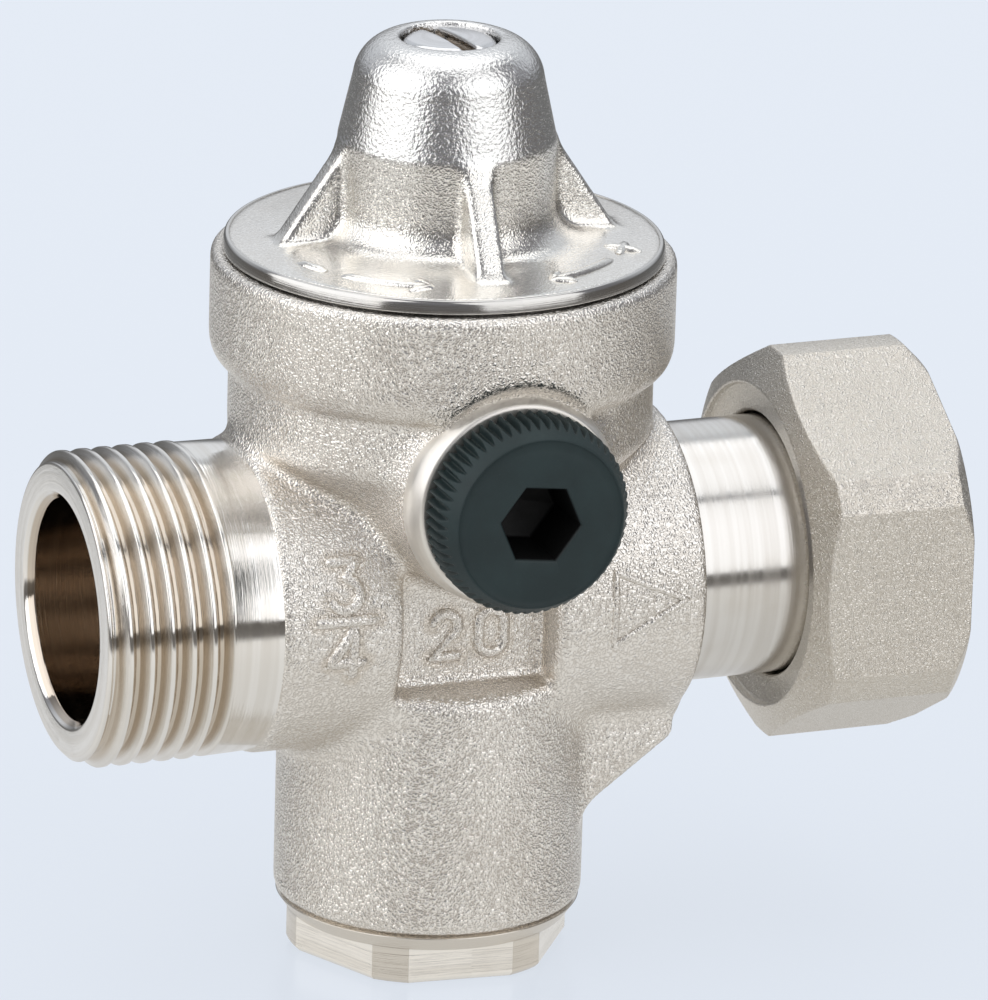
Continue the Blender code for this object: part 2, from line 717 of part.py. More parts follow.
def make_stem(brass, steel, rubber):
    disc_shoulder = DISC_TOP + FIT_GAP
    piston_shoulder = PISTON_LOW - FIT_GAP
    stem_low = -BARREL_DROP + STEM_COLLAR_HEIGHT
    nut_low = CUP_FLOOR + FIT_GAP
    stem_top = nut_low + STEM_NUT_HEIGHT + FIT_GAP
    outline = [
        (0, stem_low),
        (STEM_END_RADIUS, stem_low),
        (STEM_END_RADIUS, disc_shoulder),
        (STEM_COLLAR_RADIUS, disc_shoulder),
        (STEM_COLLAR_RADIUS, disc_shoulder + STEM_COLLAR_HEIGHT),
        (STEM_RADIUS, disc_shoulder + STEM_COLLAR_HEIGHT),
        (STEM_RADIUS, piston_shoulder - STEM_COLLAR_HEIGHT),
        (STEM_COLLAR_RADIUS, piston_shoulder - STEM_COLLAR_HEIGHT),
        (STEM_COLLAR_RADIUS, piston_shoulder),
        (STEM_END_RADIUS, piston_shoulder),
        (STEM_END_RADIUS, stem_top),
        (0, stem_top),
    ]
    place(turned("valve_stem", outline, SMALL_TURN), brass)
    hole = STEM_END_RADIUS + FIT_GAP
    disc = [(hole, DISC_LOW), (DISC_RADIUS, DISC_LOW), (DISC_RADIUS, DISC_TOP), (hole, DISC_TOP)]
    place(turned("seal_disc", disc, SMALL_TURN), rubber)
    holder_bore = DISC_RADIUS + FIT_GAP
    holder_floor = DISC_LOW - FIT_GAP
    holder_top = DISC_TOP - DISC_PROUD
    holder = [
        (hole, HOLDER_LOW),
        (HOLDER_RADIUS, HOLDER_LOW),
        (HOLDER_RADIUS, holder_top),
        (holder_bore, holder_top),
        (holder_bore, holder_floor),
        (hole, holder_floor),
    ]
    place(turned("disc_holder", holder, SMALL_TURN), brass)
    disc_nut_low = HOLDER_LOW - FIT_GAP - STEM_NUT_HEIGHT
    for name, low in (("stem_nut", nut_low), ("disc_nut", disc_nut_low)):
        nut = place(prism(name, hexagon(STEM_NUT_FLATS), 0, STEM_NUT_HEIGHT), steel, rise=low)
        bore = cylinder(f"{name}_bore", hole, -OVERCUT, STEM_NUT_HEIGHT + OVERCUT)
        combine(nut, place(bore, rise=low), "DIFFERENCE")


def make_seat(steel, rubber):
    radius = SEAT_HOLE - FIT_GAP
    flange_radius = SEAT_CHAMBER - FIT_GAP
    seal_groove, seal_mean = ring_seat(SEAT_HOLE, SEAT_RING_SECTION)
    seal_half = SEAT_RING_SECTION + SEAL_GAP
    outline = [
        (SEAT_RING_HOLE, SEAT_LIP),
        (flange_radius, SEAT_LIP),
        (flange_radius, SEAT_LIP + SEAT_FLANGE_HEIGHT),
        (radius, SEAT_LIP + SEAT_FLANGE_HEIGHT),
    ]
    outline += groove(radius, seal_groove, -seal_half, seal_half)
    outline += [(radius, SEAT_TOP), (SEAT_RING_HOLE, SEAT_TOP)]
    place(turned("seat_ring", outline, MIDDLE_TURN), steel)
    place(turned("seat_oring", tube_ring(seal_mean, SEAT_RING_SECTION, 0), RING_TURN), rubber)


def make_bottom_plug(brass, rubber):
    """The hexagon plug that closes the barrel and guides the stem's lower end."""
    hex_low = PLUG_TOP - PLUG_COLLAR_HEIGHT - PLUG_HEX_HEIGHT
    hex_top = hex_low + PLUG_HEX_HEIGHT
    spigot = BASE_BORE - FIT_GAP
    spigot_top = PLUG_TOP + PLUG_SPIGOT_LENGTH
    seal_groove, seal_mean = ring_seat(BASE_BORE, PLUG_RING_SECTION)
    seal_half = PLUG_RING_SECTION + SEAL_GAP
    seal_middle = spigot_top - 2 * seal_half
    guide_bore = STEM_END_RADIUS + SLIDE_GAP
    guide_floor = hex_low + PLUG_FLOOR
    wiper_mean = STEM_END_RADIUS + SEAL_GAP + GUIDE_RING_SECTION
    wiper_groove = wiper_mean + GUIDE_RING_SECTION + SEAL_GAP
    wiper_half = GUIDE_RING_SECTION + SEAL_GAP
    wiper_middle = -GUIDE_TOP_DROP - 2 * wiper_half
    outline = [
        (0, hex_low),
        (PLUG_HEX_CORNER - PLUG_EDGE, hex_low),
        (PLUG_HEX_CORNER, hex_low + PLUG_EDGE),
        (PLUG_HEX_CORNER, hex_top),
        (PLUG_COLLAR_LOW_RADIUS, hex_top),
        (PLUG_COLLAR_TOP_RADIUS, PLUG_TOP),
        (spigot, PLUG_TOP),
    ]
    outline += groove(spigot, seal_groove, seal_middle - seal_half, seal_middle + seal_half)
    outline += [
        (spigot, spigot_top),
        (PLUG_SPIGOT_BORE, spigot_top),
        (PLUG_SPIGOT_BORE, guide_floor),
        (GUIDE_RADIUS, guide_floor),
        (GUIDE_RADIUS, -GUIDE_TOP_DROP),
        (guide_bore, -GUIDE_TOP_DROP),
    ]
    outline += groove(guide_bore, wiper_groove, wiper_middle + wiper_half, wiper_middle - wiper_half)
    outline += [(guide_bore, guide_floor), (0, guide_floor)]
    plug = place(turned("bottom_plug", outline, MIDDLE_TURN), brass)
    keep = hexagon(PLUG_HEX_FLATS, PLUG_HEX_TURN)
    for side in range(6):
        first, second = Vector(keep[side]), Vector(keep[(side + 1) % 6])
        out = (first + second).normalized() * OVERCUT
        flat = [tuple(first), tuple(first + out), tuple(second + out), tuple(second)]
        chip = prism(f"plug_flat_{side + 1}", flat, hex_low - OVERCUT, hex_top)
        combine(plug, place(chip), "DIFFERENCE")
    ring = tube_ring(seal_mean, PLUG_RING_SECTION, seal_middle)
    place(turned("bottom_plug_oring", ring, RING_TURN), rubber)
    wiper = tube_ring(wiper_mean, GUIDE_RING_SECTION, wiper_middle)
    place(turned("guide_oring", wiper, SMALL_TURN), rubber)


def knurled_head():
    """The gauge plug's head: a bevelled face and a toothed rim, standing on local Z."""
    bm = bmesh.new()
    knurl_top = PLUG_HEAD_HEIGHT - PLUG_BEVEL
    face_radius = PLUG_HEAD_RADIUS - PLUG_BEVEL_WIDTH
    steps = 2 * KNURL_TEETH
    rings = []
    for radius, depth, height in (
        (PLUG_HEAD_RADIUS, KNURL_DEPTH, 0),
        (PLUG_HEAD_RADIUS, KNURL_DEPTH, knurl_top),
        (face_radius, 0, PLUG_HEAD_HEIGHT),
    ):
        ring = []
        for step in range(steps):
            angle = 2 * math.pi * step / steps
            reach = radius - depth * (step % 2)
            ring.append(bm.verts.new((reach * math.cos(angle), reach * math.sin(angle), height)))
        rings.append(ring)
    bm.faces.new(rings[0])
    bm.faces.new(rings[-1])
    for low, high in zip(rings, rings[1:]):
        for step in range(steps):
            after = (step + 1) % steps
            bm.faces.new((low[step], low[after], high[after], high[step]))
    return mesh_from(bm, "gauge_plug")


def make_gauge_plug(plastic, rubber):
    head_back = GAUGE_FACE + FIT_GAP
    recess_bottom = GAUGE_FACE - GAUGE_RECESS_DEPTH
    thread_end = GAUGE_FACE - GAUGE_THREAD_DEPTH + SLIDE_GAP
    thread_radius = GAUGE_THREAD_RADIUS - SLIDE_GAP
    seat = Matrix.Translation((0, -head_back, 0)) @ TO_GAUGE
    plug = place(knurled_head(), plastic, facing=seat, rise=GAUGE_RISE)
    shank = [
        (0, thread_end - head_back),
        (thread_radius, thread_end - head_back),
        (thread_radius, recess_bottom - head_back),
        (PLUG_NECK_RADIUS, recess_bottom - head_back),
        (PLUG_NECK_RADIUS, PLUG_HEAD_HEIGHT / 2),
        (0, PLUG_HEAD_HEIGHT / 2),
    ]
    combine(plug, place(turned("plug_shank", shank, MIDDLE_TURN), facing=seat, rise=GAUGE_RISE), "UNION")
    key = hexagon(HEX_KEY, HEX_KEY_TURN)
    socket = prism("key_socket", key, PLUG_HEAD_HEIGHT - HEX_KEY_DEPTH, PLUG_HEAD_HEIGHT + OVERCUT)
    combine(plug, place(socket, facing=seat, rise=GAUGE_RISE), "DIFFERENCE")
    section = (GAUGE_RECESS_RADIUS - PLUG_NECK_RADIUS) / 2 - SEAL_GAP
    mean = (GAUGE_RECESS_RADIUS + PLUG_NECK_RADIUS) / 2
    ring = tube_ring(mean, section, (GAUGE_FACE + recess_bottom) / 2)
    place(turned("gauge_plug_oring", ring, RING_TURN), rubber, facing=TO_GAUGE, rise=GAUGE_RISE)


def make_tail(steel, rubber, fibre):
    seal_groove, seal_mean = ring_seat(TAIL_SOCKET, TAIL_RING_SECTION)
    seal_half = TAIL_RING_SECTION + SEAL_GAP
    tail_low = TAIL_START + FIT_GAP
    collar = TAIL_END - TAIL_COLLAR_WIDTH
    outline = [(TAIL_BORE, tail_low), (TAIL_RADIUS, tail_low)]
    outline += groove(TAIL_RADIUS, seal_groove, TAIL_RING_PLACE - seal_half, TAIL_RING_PLACE + seal_half)
    outline += [
        (TAIL_RADIUS, collar),
        (TAIL_COLLAR_RADIUS, collar),
        (TAIL_COLLAR_RADIUS, TAIL_END),
        (TAIL_BORE, TAIL_END),
    ]
    place(turned("tailpiece", outline, LARGE_TURN), steel, facing=TO_OUTLET)
    ring = tube_ring(seal_mean, TAIL_RING_SECTION, TAIL_RING_PLACE)
    place(turned("tailpiece_oring", ring, RING_TURN), rubber, facing=TO_OUTLET)
    low = TAIL_END + FIT_GAP
    high = low + GASKET_THICK
    bore = TAIL_BORE + GASKET_STEP
    gasket = [
        (bore, low),
        (TAIL_COLLAR_RADIUS, low),
        (TAIL_COLLAR_RADIUS, high),
        (bore, high),
    ]
    place(turned("nut_gasket", gasket, MIDDLE_TURN), fibre, facing=TO_OUTLET)


def make_swivel_nut(brass):
    """A turned blank with its threaded socket, cut to a hexagon."""
    lip_bore = TAIL_RADIUS + SLIDE_GAP
    recess = NUT_START + NUT_RECESS_DEPTH
    recess_radius = NUT_FACE_RADIUS - NUT_LIP_WIDTH
    blank = [
        (lip_bore, recess),
        (recess_radius, recess),
        (recess_radius, NUT_START),
        (NUT_FACE_RADIUS, NUT_START),
        (NUT_CORNER, NUT_START + NUT_FACE_CHAMFER),
        (NUT_CORNER, NUT_END - NUT_BACK_CHAMFER),
        (NUT_BACK_RADIUS, NUT_END),
        (PIPE_THREAD_RADIUS, NUT_END),
        (PIPE_THREAD_CORE, NUT_END - THREAD_LEAD),
        (PIPE_THREAD_CORE, LIP_INNER),
        (lip_bore, LIP_INNER),
    ]
    nut = place(turned("swivel_nut", blank, LARGE_TURN), brass, facing=TO_OUTLET)
    keep = prism("nut_hexagon", hexagon(NUT_FLATS), NUT_START - OVERCUT, NUT_END + OVERCUT)
    combine(nut, place(keep, facing=TO_OUTLET), "INTERSECT")


clear_scene()
pipe_axis = bpy.data.objects.new("pipe_axis", None)
bpy.context.scene.collection.objects.link(pipe_axis)
pipe_axis.location = (0, 0, PIPE_HEIGHT)
pipe_axis.empty_display_size = BOSS_RADIUS

CAST_NICKEL = principled("cast_nickel", (0.62, 0.58, 0.53), 0.42, 1.0)
BRIGHT_NICKEL = principled("bright_nickel", (0.72, 0.70, 0.67), 0.22, 1.0)
TURNED_NICKEL = principled("turned_nickel", (0.73, 0.71, 0.67), 0.24, 1.0)
TURNED_BRASS = principled("turned_brass", (0.70, 0.62, 0.46), 0.30, 1.0)
PLATED_STEEL = principled("plated_steel", (0.75, 0.75, 0.76), 0.20, 1.0)
SPRING_STEEL = principled("spring_steel", (0.36, 0.36, 0.38), 0.35, 1.0)
DARK_PLASTIC = principled("dark_plastic", (0.035, 0.050, 0.050), 0.55, 0.0)
BLACK_RUBBER = principled("black_rubber", (0.02, 0.02, 0.02), 0.70, 0.0)
WHITE_SLICK = principled("white_slick", (0.85, 0.85, 0.82), 0.50, 0.0)
RED_FIBRE = principled("red_fibre", (0.42, 0.12, 0.08), 0.80, 0.0)

make_body(CAST_NICKEL)
make_bonnet(BRIGHT_NICKEL, BLACK_RUBBER)
make_screw(PLATED_STEEL)
make_plate(PLATED_STEEL)
make_spring(SPRING_STEEL)
make_piston(TURNED_BRASS, BLACK_RUBBER, WHITE_SLICK)
make_stem(TURNED_BRASS, PLATED_STEEL, BLACK_RUBBER)
make_seat(PLATED_STEEL, BLACK_RUBBER)
make_bottom_plug(TURNED_NICKEL, BLACK_RUBBER)
make_gauge_plug(DARK_PLASTIC, BLACK_RUBBER)
make_tail(TURNED_NICKEL, BLACK_RUBBER, RED_FIBRE)
make_swivel_nut(CAST_NICKEL)
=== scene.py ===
import math

import bmesh
import bpy
import numpy as np
from mathutils import Matrix, Vector
from mathutils.kdtree import KDTree


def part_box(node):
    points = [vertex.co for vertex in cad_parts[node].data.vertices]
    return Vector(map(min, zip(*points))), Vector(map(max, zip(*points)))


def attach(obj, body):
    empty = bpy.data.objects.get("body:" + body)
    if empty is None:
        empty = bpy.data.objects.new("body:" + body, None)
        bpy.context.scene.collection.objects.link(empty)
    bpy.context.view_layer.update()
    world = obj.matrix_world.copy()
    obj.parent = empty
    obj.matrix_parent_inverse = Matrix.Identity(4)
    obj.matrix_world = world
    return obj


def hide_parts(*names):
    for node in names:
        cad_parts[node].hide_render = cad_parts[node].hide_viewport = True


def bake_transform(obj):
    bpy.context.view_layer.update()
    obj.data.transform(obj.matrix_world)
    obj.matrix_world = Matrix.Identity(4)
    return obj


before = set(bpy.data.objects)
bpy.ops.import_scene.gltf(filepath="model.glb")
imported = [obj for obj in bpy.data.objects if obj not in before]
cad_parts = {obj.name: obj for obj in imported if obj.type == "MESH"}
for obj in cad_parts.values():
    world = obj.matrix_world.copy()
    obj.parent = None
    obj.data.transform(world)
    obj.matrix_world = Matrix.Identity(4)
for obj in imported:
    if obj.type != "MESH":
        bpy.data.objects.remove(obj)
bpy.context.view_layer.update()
mm = 0.001
far = 40  # past every face of the body, in millimetres


def nodeSpan(node):  # a node's low and high corners in millimetres
    low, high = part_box(node)
    return np.array(low) / mm, np.array(high) / mm


tailLow, tailHigh = nodeSpan("tailpiece")
bodyLow, bodyHigh = nodeSpan("valve_body")
bonnetLow, bonnetHigh = nodeSpan("bonnet")
plugLow, plugHigh = nodeSpan("gauge_plug")
pipeZ = (tailLow[2] + tailHigh[2]) / 2  # height of the pipe axis
gaugeZ = (plugLow[2] + plugHigh[2]) / 2 - pipeZ  # rise of the gauge port
barrelLow, ringTop = bodyLow[2] - pipeZ, bodyHigh[2] - pipeZ  # ends of the body, from the pipe axis
print("frame read: pipe axis at", round(float(pipeZ), 2), "mm")

# Placing: castings are made in millimetres about the pipe axis, turned pieces in metres along their own Z
pipeCentre = (0, 0, float(pipeZ) * mm)
gaugeCentre = (0, 0, float(pipeZ + gaugeZ) * mm)
upright = Matrix.Translation(pipeCentre)
onPipeAxis = upright @ Matrix.Scale(mm, 4)
alongOutlet = upright @ Matrix.Rotation(math.radians(90), 4, "Y")
alongInlet = upright @ Matrix.Rotation(math.radians(-90), 4, "Y")
alongGauge = Matrix.Translation(gaugeCentre) @ Matrix.Rotation(math.radians(90), 4, "X")
finishes = {}  # materials by name


def addObject(mesh):
    piece = bpy.data.objects.new(mesh.name, mesh)
    bpy.context.scene.collection.objects.link(piece)
    return piece


def addPiece(mesh, place, finish, slot, body=None, node=None):
    mesh.transform(place)
    mesh.update()
    piece = addObject(mesh)
    mesh.materials.clear()
    mesh.materials.append(finishes[finish])
    if body:
        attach(piece, body)
    if node:
        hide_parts(node)
    return piece


def meshFromArrays(name, points, faces):
    mesh = bpy.data.meshes.new(name)
    faces = np.asarray(faces, np.int32)
    mesh.vertices.add(len(points))
    mesh.vertices.foreach_set("co", np.asarray(points, np.float32).ravel())
    mesh.loops.add(faces.size)
    mesh.loops.foreach_set("vertex_index", faces.ravel())
    mesh.polygons.add(len(faces))
    mesh.polygons.foreach_set("loop_start", np.arange(0, faces.size, faces.shape[1], dtype=np.int32))
    mesh.update(calc_edges=True)
    mesh.validate()
    mesh.shade_smooth()
    return mesh


def vertexPoints(mesh):
    points = np.zeros(len(mesh.vertices) * 3, np.float32)
    mesh.vertices.foreach_get("co", points)
    return points.reshape(-1, 3)


def setHollow(mesh, values):  # a mask for tarnish and painted shade
    mask = mesh.attributes.new("hollow", "FLOAT", "POINT")
    mask.data.foreach_set("value", values.astype(np.float32))


# Implicit shapes on a grid: signed distances in millimetres, negative inside
def gridOver(low, high, step):
    axes = [np.arange(a - 2.5 * step, b + 3.5 * step, step, dtype=np.float32) for a, b in zip(low, high)]
    x, y, z = axes
    return x[:, None, None], y[None, :, None], z[None, None, :], np.array([a[0] for a in axes])


def outlineDistance(u, v, corners):  # distance to a closed outline
    least, inside = None, False
    for (au, av), (bu, bv) in zip(corners, corners[1:] + corners[:1]):
        eu, ev = bu - au, bv - av
        wu, wv = u - au, v - av
        along = np.clip((wu * eu + wv * ev) / (eu * eu + ev * ev), 0, 1)
        apart = (wu - eu * along) ** 2 + (wv - ev * along) ** 2
        least = apart if least is None else np.minimum(least, apart)
        if av != bv:
            inside = inside ^ (((av > v) != (bv > v)) & (u < eu * (v - av) / ev + au))
    return np.where(inside, -1, 1) * np.sqrt(least)


def join(a, b, fillet):
    share = np.clip(0.5 + 0.5 * (b - a) / fillet, 0, 1)
    return b * (1 - share) + a * share - fillet * share * (1 - share)


def cut(a, b, fillet):
    return -join(-a, b, fillet)


def meet(a, b, rounding):  # what two shapes share, with rounded edges
    return -join(-a, -b, rounding)


def tube(radius, along, tubeRadius, low, high):  # solid rod between two stations
    return np.maximum(radius - tubeRadius, np.maximum(low - along, along - high))


def soften(field, passes):  # a small blur rounds every edge like a casting
    for _ in range(passes):
        for axis in range(3):
            field = (np.roll(field, 1, axis) + 2 * field + np.roll(field, -1, axis)) / 4
    return field


def sampleField(field, origin, step, points):
    place = (points - origin) / step
    where = np.clip(place, 0, np.array(field.shape) - 1.001)
    base = where.astype(int)
    part = where - base
    total = np.zeros(len(points), np.float32)
    for corner in range(8):
        offset = np.array([corner >> 2 & 1, corner >> 1 & 1, corner & 1])
        weight = np.prod(np.where(offset, part, 1 - part), axis=1)
        total += weight * field[tuple((base + offset).T)]
    return total + np.linalg.norm(place - where, axis=1) * step  # past the grid the distance grows on


def surfaceNet(field, origin, step):  # quads on the zero level of a field
    inside = field < 0
    shape = np.array(field.shape) - 1
    total = np.zeros((*shape, 3), np.float32)
    count = np.zeros(shape, np.float32)
    for axis in range(3):
        others = [a for a in range(3) if a != axis]
        for side in range(4):
            start = [0, 0, 0]
            start[others[0]], start[others[1]] = side >> 1, side & 1
            first = field[tuple(slice(s, s + n) for s, n in zip(start, shape))]
            start[axis] = 1
            second = field[tuple(slice(s, s + n) for s, n in zip(start, shape))]
            crossed = (first < 0) != (second < 0)
            total[..., axis] += np.where(crossed, first / np.where(crossed, first - second, 1), 0)
            total[..., others[0]] += crossed * (side >> 1)
            total[..., others[1]] += crossed * (side & 1)
            count += crossed
    used = count > 0
    number = np.full(shape, -1, np.int64)
    number[used] = np.arange(used.sum())
    points = (np.argwhere(used) + total[used] / count[used][:, None]) * step + origin
    faces = []
    for axis in range(3):
        changed = np.argwhere(np.diff(inside, axis=axis))
        others = [(axis + 1) % 3, (axis + 2) % 3]
        edges = changed[(changed[:, others] > 0).all(1) & (changed[:, others] < shape[others]).all(1)]
        quad = []
        for shift in ((0, 0), (1, 0), (1, 1), (0, 1)):
            cell = edges.copy()
            cell[:, others] -= shift
            quad.append(number[tuple(cell.T)])
        quad = np.stack(quad, 1)
        inward = ~inside[tuple(edges.T)]
        quad[inward] = quad[inward][:, ::-1]
        faces.append(quad)
    return points, np.concatenate(faces)


def castMesh(name, field, origin, step, reach):  # its mask is high where walls close in within reach
    points, faces = surfaceNet(field, origin, step)
    mesh = meshFromArrays(name, points, faces)
    normals = np.zeros(len(points) * 3, np.float32)
    mesh.vertex_normals.foreach_get("vector", normals)
    hollow = np.zeros(len(points), np.float32)
    for share in (0.4, 0.7, 1.0):
        away = reach * share
        apart = sampleField(field, origin, step, points + normals.reshape(-1, 3) * away)
        hollow += np.clip(1 - apart / away, 0, 1)
    setHollow(mesh, hollow / 3)
    print(name, "cast:", len(points), "points")
    return mesh


# Turned shapes: rows of (radius, height), where either may have a value for every angle
def turnedMesh(name, rows, angles, closed=True):
    columns = len(angles)
    radii, heights = (np.array([np.broadcast_to(row[i], columns) for row in rows]) for i in (0, 1))
    points = np.stack([radii * np.cos(angles), radii * np.sin(angles), heights], -1).reshape(-1, 3) * mm
    row = np.arange(len(rows) if closed else len(rows) - 1)[:, None]
    column = np.arange(columns)[None, :]
    following, beside = (row + 1) % len(rows), (column + 1) % columns
    corners = [(row, column), (row, beside), (following, beside), (following, column)]
    faces = np.stack([a * columns + b for a, b in corners], -1).reshape(-1, 4)
    mesh = meshFromArrays(name, points, faces)
    if not closed:
        closePoles(mesh, columns)
    return mesh


def closePoles(mesh, columns):  # caps the first and last rows of an open turning
    edit = bmesh.new()
    edit.from_mesh(mesh)
    corners = list(edit.verts)
    edit.faces.new(corners[:columns][::-1])
    edit.faces.new(corners[-columns:])
    bmesh.ops.recalc_face_normals(edit, faces=edit.faces)
    edit.to_mesh(mesh)
    edit.free()
    mesh.shade_smooth()


def evenAngles(columns):
    return 2 * np.pi * np.arange(columns) / columns


def turnPiece(name, outline, columns, place, *facts):  # facts are its finish, slot, body and node; the slot is not used
    addPiece(turnedMesh(name, outline, evenAngles(columns)), place, *facts)


def easedOutline(corners):  # (radius, height, rounding) corners, with close rows beside every edge
    rows = []
    count = len(corners)
    for index, (radius, height, ease) in enumerate(corners):
        here = np.array((radius, height), float)
        before = np.array(corners[index - 1][:2]) - here
        after = np.array(corners[(index + 1) % count][:2]) - here
        first = here + before / np.linalg.norm(before) * ease
        last = here + after / np.linalg.norm(after) * ease
        for share in np.linspace(0, 1, 5):
            rows.append(first * (1 - share) ** 2 + 2 * here * share * (1 - share) + last * share**2)
    return rows


def hexReach(flats, angles, turn):  # polar radius of a hexagon with a flat towards turn
    side = (angles - turn + math.pi / 6) % (math.pi / 3) - math.pi / 6
    return flats / 2 / np.cos(side)


def hexAngles(flats, corner, turn):  # columns that meet the breaks beside every cut corner
    half = math.pi / 6 - math.acos(flats / 2 / corner)
    corners = turn + math.pi / 6 + np.arange(6) * math.pi / 3
    breaks = [corners + side * half + shift for side in (-1, 1) for shift in (-0.004, 0.0, 0.004)]
    angles = np.sort(np.concatenate([np.arange(180) * math.pi / 90, *breaks]) % (2 * math.pi))
    return angles[np.diff(angles, append=angles[0] + 2 * math.pi) > 0.002]


# Nodes: inputs are given by name or in their order, and each may be a number, a colour or a link
def setSocket(tree, socket, value):
    value = getattr(value, "socket", value)
    if isinstance(value, bpy.types.NodeSocket):
        tree.links.new(value, socket)
    elif socket.type == "RGBA":
        socket.default_value = (*value, 1)
    else:
        socket.default_value = value


def setSockets(tree, node, inputs):
    for key, value in inputs.items() if isinstance(inputs, dict) else enumerate(inputs):
        setSocket(tree, node.inputs[key], value)


def addNode(tree, kind, inputs=(), **settings):
    node = tree.nodes.new(kind)
    for key, value in settings.items():
        setattr(node, key, value)
    setSockets(tree, node, inputs)
    return node


class nodeValue:  # a node's output that sums can be written with
    def __init__(self, tree, socket):
        self.tree = tree
        self.socket = socket

    def reckon(self, operation, *others):
        return nodeMath(self.tree, operation, self, *others)

    def smooth(self, low, high, kind="SMOOTHSTEP"):  # rises from 0 at low to 1 at high
        inputs = {"Value": self, "From Min": low, "From Max": high}
        node = addNode(self.tree, "ShaderNodeMapRange", inputs, interpolation_type=kind)
        return nodeValue(self.tree, node.outputs["Result"])

    def __add__(self, other):
        return self.reckon("ADD", other)

    def __sub__(self, other):
        return self.reckon("SUBTRACT", other)

    def __rsub__(self, other):
        return nodeMath(self.tree, "SUBTRACT", other, self)

    def __mul__(self, other):
        return self.reckon("MULTIPLY", other)

    def __truediv__(self, other):
        return self.reckon("DIVIDE", other)

    def __abs__(self):
        return self.reckon("ABSOLUTE")


def nodeMath(tree, operation, *values):
    return nodeValue(tree, addNode(tree, "ShaderNodeMath", values, operation=operation).outputs[0])


def splitAxes(tree, vector):
    return [nodeValue(tree, socket) for socket in addNode(tree, "ShaderNodeSeparateXYZ", [vector]).outputs]


def newGroup(name, kind, inputs, outputs):  # inputs and outputs are (label, socket kind, value or None)
    tree = bpy.data.node_groups.new(name, kind)
    for way, sockets in (("INPUT", inputs), ("OUTPUT", outputs)):
        for label, socketKind, value in sockets:
            socket = tree.interface.new_socket(label, in_out=way, socket_type="NodeSocket" + socketKind)
            if value is not None:
                socket.default_value = value
    source = tree.nodes.new("NodeGroupInput")
    return tree, {socket.name: nodeValue(tree, socket) for socket in source.outputs if socket.name}


# Geometry Nodes trees
def newTree(name, sizes):
    inputs = [("Geometry", "Geometry", None), *((label, "Float", value) for label, value in sizes.items())]
    inputs.append(("Finish", "Material", None))
    return newGroup(name, "GeometryNodeTree", inputs, [("Geometry", "Geometry", None)])


def closeTree(tree, source, geometry):
    plain = addNode(tree, "GeometryNodeRealizeInstances", [geometry]).outputs[0]
    finish = addNode(tree, "GeometryNodeSetMaterial", {"Geometry": plain, "Material": source["Finish"]})
    addNode(tree, "NodeGroupOutput", [finish.outputs[0]])
    return tree


def beadTree():  # a round bead along every line of a mesh
    tree, source = newTree("sweepBead", {"Thickness": 0.5})
    lines = addNode(tree, "GeometryNodeMeshToCurve", {"Mesh": source["Geometry"]})
    section = {"Resolution": 12, "Radius": source["Thickness"]}
    circle = addNode(tree, "GeometryNodeCurvePrimitiveCircle", section)
    sweep = {"Curve": lines.outputs["Curve"], "Profile Curve": circle.outputs["Curve"], "Fill Caps": True}
    return closeTree(tree, source, addNode(tree, "GeometryNodeCurveToMesh", sweep).outputs["Mesh"])


def polarParts(tree):  # angle in turns, radius and height of each point
    x, y, z = splitAxes(tree, addNode(tree, "GeometryNodeInputPosition").outputs[0])
    return y.reckon("ARCTAN2", x) / (2 * math.pi), (x * x + y * y).reckon("SQRT"), z


def cutRadially(tree, source, depth):  # moves points towards the axis and closes the tree
    place = addNode(tree, "GeometryNodeInputPosition").outputs[0]
    flat = addNode(tree, "ShaderNodeVectorMath", [place, (1, 1, 0)], operation="MULTIPLY").outputs[0]
    unit = addNode(tree, "ShaderNodeVectorMath", [flat], operation="NORMALIZE").outputs[0]
    inward = {0: unit, "Scale": depth * -1.0}
    offset = addNode(tree, "ShaderNodeVectorMath", inward, operation="SCALE").outputs[0]
    move = addNode(tree, "GeometryNodeSetPosition", {"Geometry": source["Geometry"], "Offset": offset})
    return closeTree(tree, source, move.outputs[0])


def threadTree():  # a right-handed thread cut into a turned wall
    lengths = {"Pitch": 0.0018, "Depth": 0.001, "Start": 0.0, "End": 0.01, "Run Out": 0.001, "Wall": 0.01}
    tree, source = newTree("cutThread", {**lengths, "Crest": 0.2, "Root": 0.2})
    turns, radius, height = polarParts(tree)
    start, end, runOut = (source[label] for label in ("Start", "End", "Run Out"))
    phase = (height / source["Pitch"] - turns).reckon("FRACT")
    ridge = 1 - abs(phase * 2 - 1)
    groove = 1 - ridge.smooth(source["Root"], 1 - source["Crest"], "LINEAR")
    within = height.smooth(start, start + runOut) * (1 - height.smooth(end - runOut, end))
    onWall = abs(radius - source["Wall"]).reckon("LESS_THAN", 0.0016)
    return cutRadially(tree, source, groove * within * (onWall * source["Depth"]))


def knurlTree():  # straight grooves round a rim, which run out on the bevel at its front
    tree, source = newTree("cutKnurl", {"Teeth": 72, "Depth": 0.0003, "Wall": 0.008})
    turns, radius, _ = polarParts(tree)
    phase = (turns * source["Teeth"]).reckon("FRACT")
    notch = abs(phase * 2 - 1).smooth(0.1, 0.85, "LINEAR")
    bottom = source["Wall"] - notch * source["Depth"]
    return cutRadially(tree, source, (radius - bottom).reckon("MAXIMUM", 0.0))


def bakeNodes(mesh, tree, values, finish):  # runs a tree on a mesh and returns the plain result
    carrier = addObject(mesh)
    modifier = carrier.modifiers.new(tree.name, "NODES")
    modifier.node_group = tree
    for item in tree.interface.items_tree:
        if item.in_out == "INPUT" and item.name in values:
            modifier[item.identifier] = float(values[item.name])
        if item.name == "Finish":
            modifier[item.identifier] = finishes[finish]
    return bakeCarrier(carrier)


